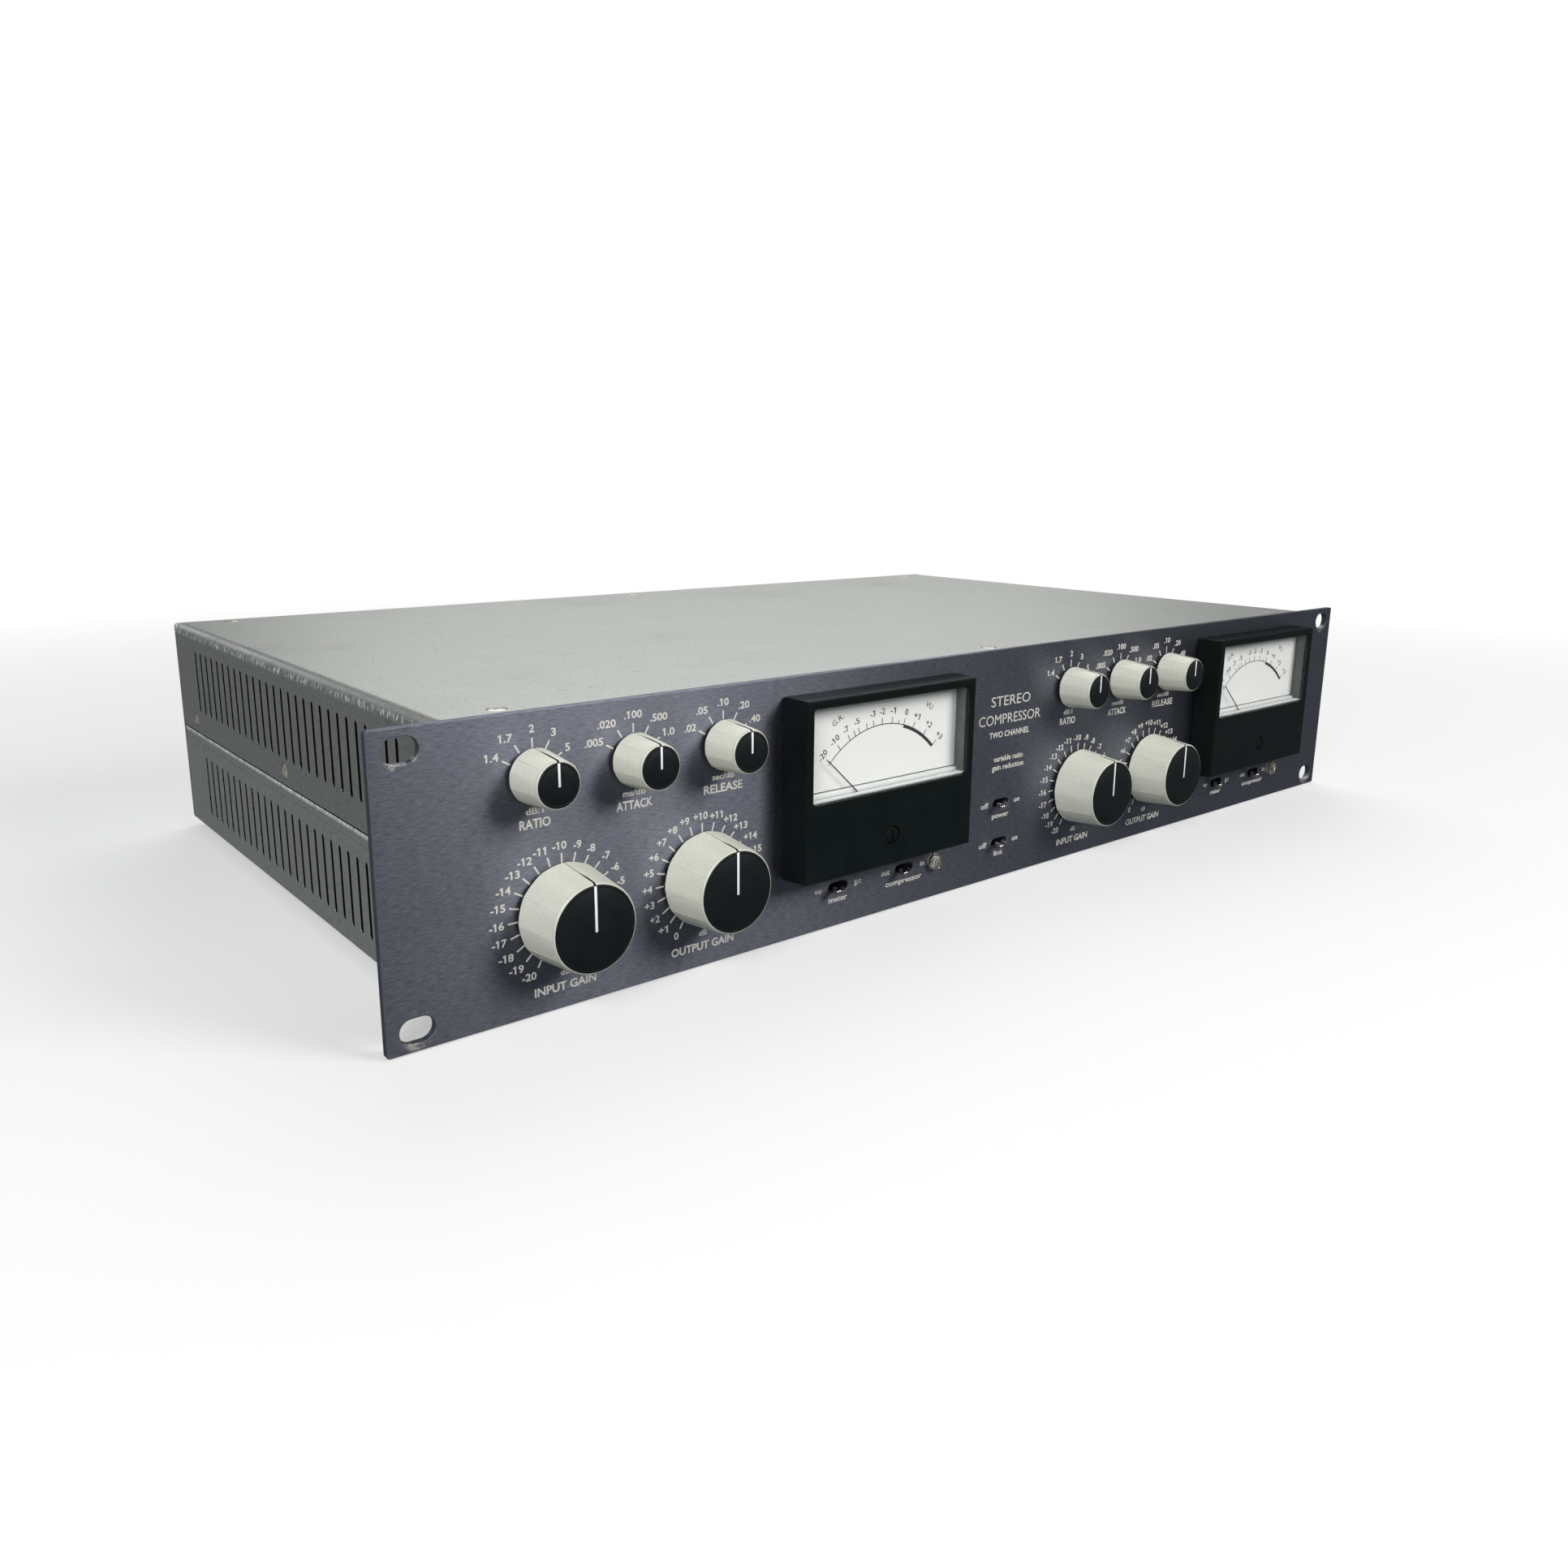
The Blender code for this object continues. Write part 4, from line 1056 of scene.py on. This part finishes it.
def build_knobs():
    black = plastic_look("cap_black", (0.004, 0.006, 0.007), (0.007, 0.009, 0.01), 0.5, 3000, 0.02, 0.2)
    white = ink_look("pointer_white", (0.8, 0.83, 0.86), (0.62, 0.64, 0.66))
    for size, names in (("small", SMALL_KNOBS), ("big", BIG_KNOBS)):
        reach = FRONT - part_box("cap_" + names[0] + "_left")[0].y
        models = (("shell_", "knob_shell", "knob_", knob_shell("shell", size, reach)),
                  ("capdisc_", "black_plastic", "cap_", knob_cap("cap", size, reach, black)),
                  ("pointer_", "black_plastic", None, pointer_line("line", size, reach, white)))
        for label in [name + "_" + side for name in names for side in SIDES]:
            place = PIVOTS[label + "_knob"].copy()
            place.y = FRONT
            for title, slot, node, model in models:
                piece = copy_of(model, title + label, place, TO_FRONT)
                settle(piece, label + "_knob", slot, *([node + label] if node else []))
        for _, _, _, model in models:
            removed(model)


# ---- meters

def build_meter_case(side, material):
    low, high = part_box("meter_case_" + side)
    reach = low.y
    middle = centre_of((low, high))
    case = block("meter_body_" + side, (low.x, high.x), (reach, FRONT - GAP), (low.z, high.z))
    for vertex in case.data.vertices:
        if vertex.co.y < reach + MM:
            vertex.co.x = middle.x + (vertex.co.x - middle.x) * METER_FACE_SHARE[0]
            vertex.co.z = middle.z + (vertex.co.z - middle.z) * METER_FACE_SHARE[1]
    soften(case, 0.55 * MM, 4)
    profile = [(0, 0), (23.3, 0), (23.3, -0.1), (23.5, -0.4), (23.5, -30.5), (22.5, -32), (0, -32)]
    barrel = turned("barrel", profile, 96)
    combine(case, to_front(barrel, middle.x, FRONT - 2 * MM, METER_BARREL_Z), "UNION")
    pane_low, pane_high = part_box("meter_window_" + side)
    dial_low, dial_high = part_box("meter_dial_" + side)
    floor = dial_high.y + GAP
    outline = face_outline(pane_low, pane_high, 1.4 * MM, GAP)
    window_space = flat_sheet("window_space", [outline], floor - reach + MM, 0)
    combine(case, to_front(window_space, 0, floor, 0))
    combine(case, block("movement_space", (pane_low.x - GAP, pane_high.x + GAP),
                        (reach + METER_WALL, floor), (dial_low.z - GAP, pane_low.z + MM)))
    zero = node_centre("meter_zero_" + side)
    hole = turned("zero_hole", [(0, 2), (3.15, 2), (3.15, -3), (0, -3)], 48)
    combine(case, to_front(hole, zero.x, reach, zero.z))
    fix(case, material, "black_plastic", "meter_case_" + side, sharp=35, even=True)


def build_meter_window(side, clear, grey, pale):
    """Clear pane with a rounded edge, the dark walls behind it and the ledge behind the needle, painted pale as
    painted light.
    """
    low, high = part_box("meter_window_" + side)
    front, back = low.y - FRONT, high.y - FRONT
    outline = face_outline(low, high, 1.2 * MM)
    pane = upright("meter_pane_" + side, [outline], (front, back), 0.25 * MM)
    fix(pane, clear, "clear_window", "meter_window_" + side, even=True)
    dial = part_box("meter_dial_" + side)[0].y - FRONT
    wall = 0.5 * MM
    inner = face_outline(low, high, 0.8 * MM, -wall)
    walls = upright("meter_walls_" + side, [outline, inner], (back + 0.1 * MM, dial - 0.1 * MM), 0.06 * MM)
    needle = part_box("meter_needle_" + side)[0].y
    combine(walls, block("needle_way", (low.x + MM, high.x - MM), (needle - 0.4 * MM, needle + MM),
                         (low.z - MM, low.z + MM)))
    fix(walls, grey, "clear_window")
    # Painted light: the ledge is painted pale where light falls on it from above.
    ledge = block("meter_ledge_" + side, (low.x + wall, high.x - wall),
                  (FRONT + dial - 1.4 * MM, FRONT + dial - 0.1 * MM),
                  (low.z + 0.1 * MM, low.z + 1.6 * MM), 0.12 * MM)
    fix(ledge, pale, "clear_window")


# angle and label of each mark on the dial, and the scales' names with their radius and angle
DIAL_MARKS = ((-46, "-20"), (-35.7, "-10"), (-27.1, "-7"), (-22.6, ""), (-19.2, "-5"), (-13.1, ""),
              (-7.9, "-3"), (-1.1, "-2"), (6.7, "-1"), (12.1, ""), (16.7, "0"), (25.1, "+1"),
              (35.7, "+2"), (46.6, "+3"))
DIAL_NAMES = (("G.R.", 42.3, -29.2), ("VU", 42.9, 30.6))


def build_dial(side, paint, ink_material):
    low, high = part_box("meter_dial_" + side)
    plate = upright("dial_plate_" + side, [face_outline(low, high, 0.6 * MM)],
                    (low.y - FRONT, high.y - FRONT), 0.08 * MM)
    fix(plate, paint, "dial_white", "meter_dial_" + side, even=True)
    x, z = PIVOTS["needle_" + side].x, PIVOTS["needle_" + side].z
    ink = Print("dial_print_" + side, 0.03 * MM)
    ink.band(x, z, DIAL_R - 0.15 * MM, DIAL_R + 0.15 * MM, -47.5, 46.6, 60)
    ink.band(x, z, DIAL_R - 1 * MM, DIAL_R, 16.7, 46.6, 30)
    for angle, label in DIAL_MARKS:
        short = 1.2 if angle == 12.1 else 2.2
        ink.spoke(x, z, DIAL_R - 0.1 * MM, DIAL_R + short * MM, angle, 0.28 * MM)
        if label:
            ink.text(label, *round_point(x, z, 37.5 * MM, angle), 2.1 * MM, turn=angle, bold=0.01)
    for words, radius, angle in DIAL_NAMES:
        ink.text(words, *round_point(x, z, radius * MM, angle), 2 * MM, turn=angle, bold=0)
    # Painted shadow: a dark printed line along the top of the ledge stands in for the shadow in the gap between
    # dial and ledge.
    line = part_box("meter_window_" + side)[0].z + 1.75 * MM
    ends = (low.x + 0.5 * MM, high.x - 0.5 * MM)
    ink.strip([(end, line) for end in ends], [(end, line + 0.3 * MM) for end in ends])
    ink.finish(low.y - FRONT, ink_material, "dial_white")


def build_needle(side, material):
    pivot = PIVOTS["needle_" + side]
    near, far = mm(1, 36)
    hub = turned("hub", [(0, 0.35), (1.4, 0.35), (2, 0.1), (2, -0.25), (0, -0.25)], 32)
    rings = [[(x * half * MM, y, z * 0.12 * MM) for x, z in ((-1, -1), (1, -1), (1, 1), (-1, 1))]
             for half, y in ((0.22, near), (0.14, far))]
    arm = ring_solid("arm", [[(0, near, 0)]] + rings + [[(0, far, 0)]], False)
    tail = block("tail", mm(-0.5, 0.5), mm(-2.1, -1), mm(-0.12, 0.12), 0.05 * MM)
    needle = joined("needle_hand_" + side, [hub, arm, tail])
    placed(needle, pivot, Matrix.Rotation(math.radians(NEEDLE_REST), 4, "Y") @ TO_FRONT)
    settle(dress(needle, material), "needle_" + side, "needle_black", "meter_needle_" + side)


def build_zero_screw(side, material):
    place = PIVOTS["zero_" + side].copy()
    place.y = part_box("meter_zero_" + side)[0].y
    profile = [(0, -0.05), (2.2, -0.08), (2.55, -0.16), (2.75, -0.4), (2.75, -1.6), (0, -1.6)]
    screw = turned("zero_disc_" + side, profile, 64)
    combine(screw, block("slot", mm(-0.35, 0.35), mm(-2.1, 2.1), mm(-0.9, 1)))
    placed(screw, place, TO_FRONT)
    settle(dress(screw, material, 25), "zero_" + side, "black_plastic", "meter_zero_" + side)


def build_meters():
    black = plastic_look("meter_black", (0.005, 0.008, 0.008), (0.007, 0.01, 0.01), 0.34, 2200, 0.008, 0.07)
    clear = window_look()
    grey = wall_look()
    # The ledge's pale plastic is painted light: the ledge is lit from above.
    pale = plastic_look("ledge_pale", (0.8, 0.81, 0.8), (0.86, 0.87, 0.86), 0.2, 900, 0.006)
    printed = ink_look("dial_ink", (0.03, 0.03, 0.032), (0.06, 0.06, 0.06))
    hand = metal_look("needle_paint", (0.02, 0.02, 0.02), (0.03, 0.03, 0.03), 0.4)
    for side in SIDES:
        build_meter_case(side, black)
        build_meter_window(side, clear, grey, pale)
        build_dial(side, dial_paint_look(side), printed)
        build_needle(side, hand)
        build_zero_screw(side, black)


# ---- switches and lamps

def build_toggles():
    chrome = metal_look("lever_chrome", (0.3, 0.29, 0.27), (0.72, 0.7, 0.65), 0.14, 300)
    profile = [(0, 15.5), (0.55, 15.45), (0.95, 15.2), (1.18, 14.7), (1.2, 14.1), (1.12, 12.8), (0.92, 8),
               (0.85, 2.4), (1.35, 1.2), (1.5, 0), (1.2, -1.1), (0, -1.6)]
    model = dress(turned("lever", profile, 32), chrome, 50)
    tilted = Matrix.Rotation(math.radians(LEVER_REST), 4, "Z") @ TO_FRONT
    for label, pivot in TOGGLES.items():
        lever = copy_of(model, "lever_" + label, pivot, tilted)
        settle(lever, label + "_lever", "steel", "toggle_" + label)
    removed(model)


def build_lenses():
    """Moulded lens with ring-shaped steps."""
    look = lens_look()
    profile = [(0, 3.2), (0.45, 3.15), (0.75, 2.95), (0.9, 2.55), (1.1, 2.85), (1.45, 2.75), (1.7, 2.35),
               (1.9, 2.55), (2.25, 2.4), (2.5, 1.95), (2.7, 2.1), (3.05, 1.85), (3.3, 1.3), (3.35, 0.3),
               (3, 0.3), (3, -2.5), (3, -6), (0, -6)]
    for side in SIDES:
        place = node_centre("lens_" + side)
        place.y = FRONT
        lens = placed(turned("lamp_lens_" + side, profile, 64), place, TO_FRONT)
        fix(lens, look, "lens", "lens_" + side, sharp=60)


# ---- rear

def build_rear_panel():
    low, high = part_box("rear_panel")
    outlines = [face_outline(low, high, 1.5 * MM)]
    for place in [node_centre(name) for name in SOCKETS]:
        outlines.append(circle(place.x, place.z, 11.9 * MM, 48))
    inlet, half = node_centre("mains_inlet"), Vector(mm(14.1, 0, 10.3))
    outlines.append(face_outline(inlet - half, inlet + half, 1 * MM))
    rear = upright("rear_plate", outlines, (low.y - FRONT, high.y - FRONT), 0.12 * MM)
    # Worn bare zinc with a painted highlight along the lower edge.
    look = sheet_look("zinc_rear", ((low.z, 1 * MM),))
    fix(rear, look, "zinc_steel", "rear_panel", sharp=40, even=True)


def on_rear(node):
    """Place of a node's middle on the outer face of the rear panel."""
    place = node_centre(node)
    place.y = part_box("rear_panel")[1].y + GAP
    return place


def moved(obj, x, y, z=0):
    obj.location = mm(x, y, z)
    return obj


def build_xlr(name, pins):
    """Panel socket: flange and shell, black insert with pins or contact holes."""
    place = on_rear(name)
    metal = metal_look("socket_nickel_" + name, (0.3, 0.3, 0.29), (0.55, 0.55, 0.53), 0.3)
    black = plastic_look("socket_black_" + name, (0.012, 0.012, 0.013), (0.02, 0.02, 0.02), 0.45)
    gold = metal_look("contact_gold_" + name, (0.5, 0.36, 0.14), (0.82, 0.62, 0.28), 0.22)
    holes = [circle(s * FLANGE_SCREW[0], s * FLANGE_SCREW[1], 1.7 * MM, 24) for s in (-1, 1)]
    outlines = [centred_rect(13, 15.5, 3), circle(0, 0, 10.8 * MM, 64)] + holes
    flange = flat_sheet("flange", outlines, 2 * MM, 0.3 * MM)
    rim = 9.3 if pins else 10
    shell = turned("shell", [(rim, 1.9), (rim + 0.2, 2), (10.9, 2), (11.2, 1.6), (11.5, 0), (11.6, -20),
                             (rim, -20)], 64)
    socket = placed(joined("socket_" + name, [flange, shell]), place, TO_REAR)
    fix(socket, metal, "socket_metal", name, sharp=35)
    spots = [arc(0, 0, PIN_RING, a, a, 1)[0] for a in PIN_ANGLES]
    if pins:
        face = turned("insert", [(0, -15.9), (8.9, -15.9), (9.1, -16.2), (9.1, -19.8), (0, -19.8)], 48)
        profile = [(0, -6.5), (0.7, -6.6), (1.1, -7.2), (1.2, -8), (1.2, -15.8), (0, -15.8)]
    else:
        face = turned("insert", [(0, 1.2), (9, 1.2), (9.4, 0.8), (9.6, -19.8), (0, -19.8)], 48)
        for x, y in spots:
            combine(face, moved(turned("hole", [(0, 3), (1.6, 3), (1.6, -10), (0, -10)], 24), x, y))
        profile = [(1.05, -3), (1.45, -3), (1.45, -9.5), (1.05, -9.5)]
    insert = placed(joined("insert_" + name, [face]), place, TO_REAR)
    fix(insert, black, "black_plastic", sharp=35)
    pieces = [moved(turned("contact", profile, 20), x, y) for x, y in spots]
    contacts = placed(joined("contacts_" + name, pieces), place, TO_REAR)
    fix(contacts, gold, "socket_metal", sharp=35)


def build_inlet():
    place = on_rear("mains_inlet")
    black = plastic_look("inlet_black", (0.012, 0.012, 0.013), (0.022, 0.022, 0.022), 0.42)
    nickel = metal_look("blade_nickel", (0.45, 0.43, 0.38), (0.72, 0.7, 0.64), 0.25)
    corners = ((-25, 0), (-16, -12.25), (16, -12.25), (25, 0), (16, 12.25), (-16, 12.25))
    outline = [mm(x, y) for x, y in corners]
    well = centred_rect(12.3, 8.3, 2)
    outer = centred_rect(13.8, 10, 1)
    holes = [circle(s * INLET_SCREW, 0, 1.7 * MM, 24) for s in (-1, 1)]
    flange = flat_sheet("flange", [outline, well] + holes, 2.1 * MM, 0.3 * MM)
    tube = moved(flat_sheet("tube", [outer, well], 17 * MM, 0.1 * MM), 0, 0, -16.9)
    back = moved(flat_sheet("back", [outer], 5 * MM, 0.1 * MM), 0, 0, -21.95)
    inlet = placed(joined("inlet_body", [flange, tube, back]), place, TO_REAR)
    fix(inlet, black, "black_plastic", "mains_inlet", sharp=35)
    blades = [block("blade", mm(x - 1, x + 1), mm(y - 2.1, y + 2.1), mm(-16.9, -8), 0.4 * MM)
              for x, y in ((-7, 2), (0, -2), (7, 2))]
    prongs = placed(joined("inlet_blades", blades), place, TO_REAR)
    fix(prongs, nickel, "socket_metal", sharp=35)


def build_rear_screws():
    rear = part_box("rear_panel")[1].y
    x, z = FLANGE_SCREW
    places = [(place.x - s * x, rear + GAP + 1.6 * MM, place.z + s * z)
              for place in [node_centre(name) for name in SOCKETS] for s in (-1, 1)]
    inlet = node_centre("mains_inlet")
    places += [(inlet.x + s * INLET_SCREW, rear + GAP + 1.7 * MM, inlet.z) for s in (-1, 1)]
    for x in (-CASE_HALF + 8 * MM, -75 * MM, 75 * MM, CASE_HALF - 8 * MM):
        places += [(x, rear + 0.3 * MM, z) for z in (CASE_LOW.z + 7 * MM, CASE_HIGH.z - 7 * MM)]
    look = metal_look("screw_zinc", (0.4, 0.39, 0.35), (0.72, 0.71, 0.66), 0.3, metallic=0.7)
    set_screws("rear_screws", REAR_SCREW_R, [(place, TO_REAR) for place in places], look)


def dress_inner_nodes():
    """Better materials for the nodes inside the case, which keep their shapes."""
    steel = metal_look("shaft_steel", (0.4, 0.4, 0.38), (0.62, 0.62, 0.6), 0.25, (200, 3000, 200))
    looks = {"board": board_look(), "shaft": steel,
             "transformer": plastic_look("core_wrap", (0.1, 0.08, 0.03), (0.16, 0.13, 0.05), 0.35, 400,
                                         0.1)}
    for name, node in frame["nodes"].items():
        for key, material in looks.items():
            if key in name:
                node.data.materials.clear()
                node.data.materials.append(material)


# ---- studio

STAGE_PROFILE = ((0, 0), (600, 0), (1200, 0), (2000, 0), (2600, 100), (3100, 400), (3400, 900),
                 (3500, 1600), (3500, 3500), (2000, 4500), (0, 4800))
# name, place, size, power and colour
LIGHTS = (("key", (0.57, -1.2, 0.8), 0.6, 13.5, (1, 0.965, 0.93)),
          ("top", (0.75, 1.05, 1.4), 1.6, 14.8, (1, 1, 1)),
          ("back", (-0.45, 2.1, 0.75), 0.6, 1.2, (1, 1, 1)),
          ("fill", (-0.98, -0.9, 0.73), 0.72, 15.5, (1, 1, 1)))
LIGHT_AIM = Vector((-0.05, -0.08, 0.05))
CAMERA_PLACE = (-0.347256, -0.412699, 0.15114)
CAMERA_TURN = (76.79689, -0.42831, -39.17678)


def build_studio():
    stage = turned("studio_floor", STAGE_PROFILE, 96)
    stage.location.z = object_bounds()[0].z - 0.5 * MM
    dress(stage, stage_look(), 60)
    stage.visible_glossy = False
    stage.visible_diffuse = False
    stage.visible_shadow = False
    world = bpy.data.worlds.new("studio")
    bpy.context.scene.world = world
    world.use_nodes = True
    sky = world.node_tree.nodes["Background"]
    sky.inputs["Color"].default_value = (0.9, 0.96, 1, 1)
    sky.inputs["Strength"].default_value = 0.15
    for name, place, size, power, color in LIGHTS:
        light = bpy.data.lights.new(name, "AREA")
        light.size = size
        light.energy = power
        light.color = color
        lamp = link(name, light)
        lamp.location = place
        lamp.rotation_euler = (LIGHT_AIM - Vector(place)).to_track_quat("-Z", "Y").to_euler()
        lamp.visible_camera = False


def build_camera():
    data = bpy.data.cameras.new("camera")
    data.sensor_width = 36
    data.lens = 27.8274
    data.shift_x = 0.0057887
    data.shift_y = -0.0180733
    data.clip_start = 0.01
    data.clip_end = 50
    camera = link("camera", data)
    camera.location = CAMERA_PLACE
    camera.rotation_euler = [math.radians(angle) for angle in CAMERA_TURN]
    bpy.context.scene.camera = camera
    bpy.context.scene.view_settings.view_transform = "Standard"


build_panel()
build_lettering()
build_cover()
build_tray()
build_case_screws()
build_knobs()
build_meters()
build_toggles()
build_lenses()
build_rear_panel()
for socket in SOCKETS:
    build_xlr(socket, "out" in socket)
build_inlet()
build_rear_screws()
dress_inner_nodes()
build_studio()
build_camera()
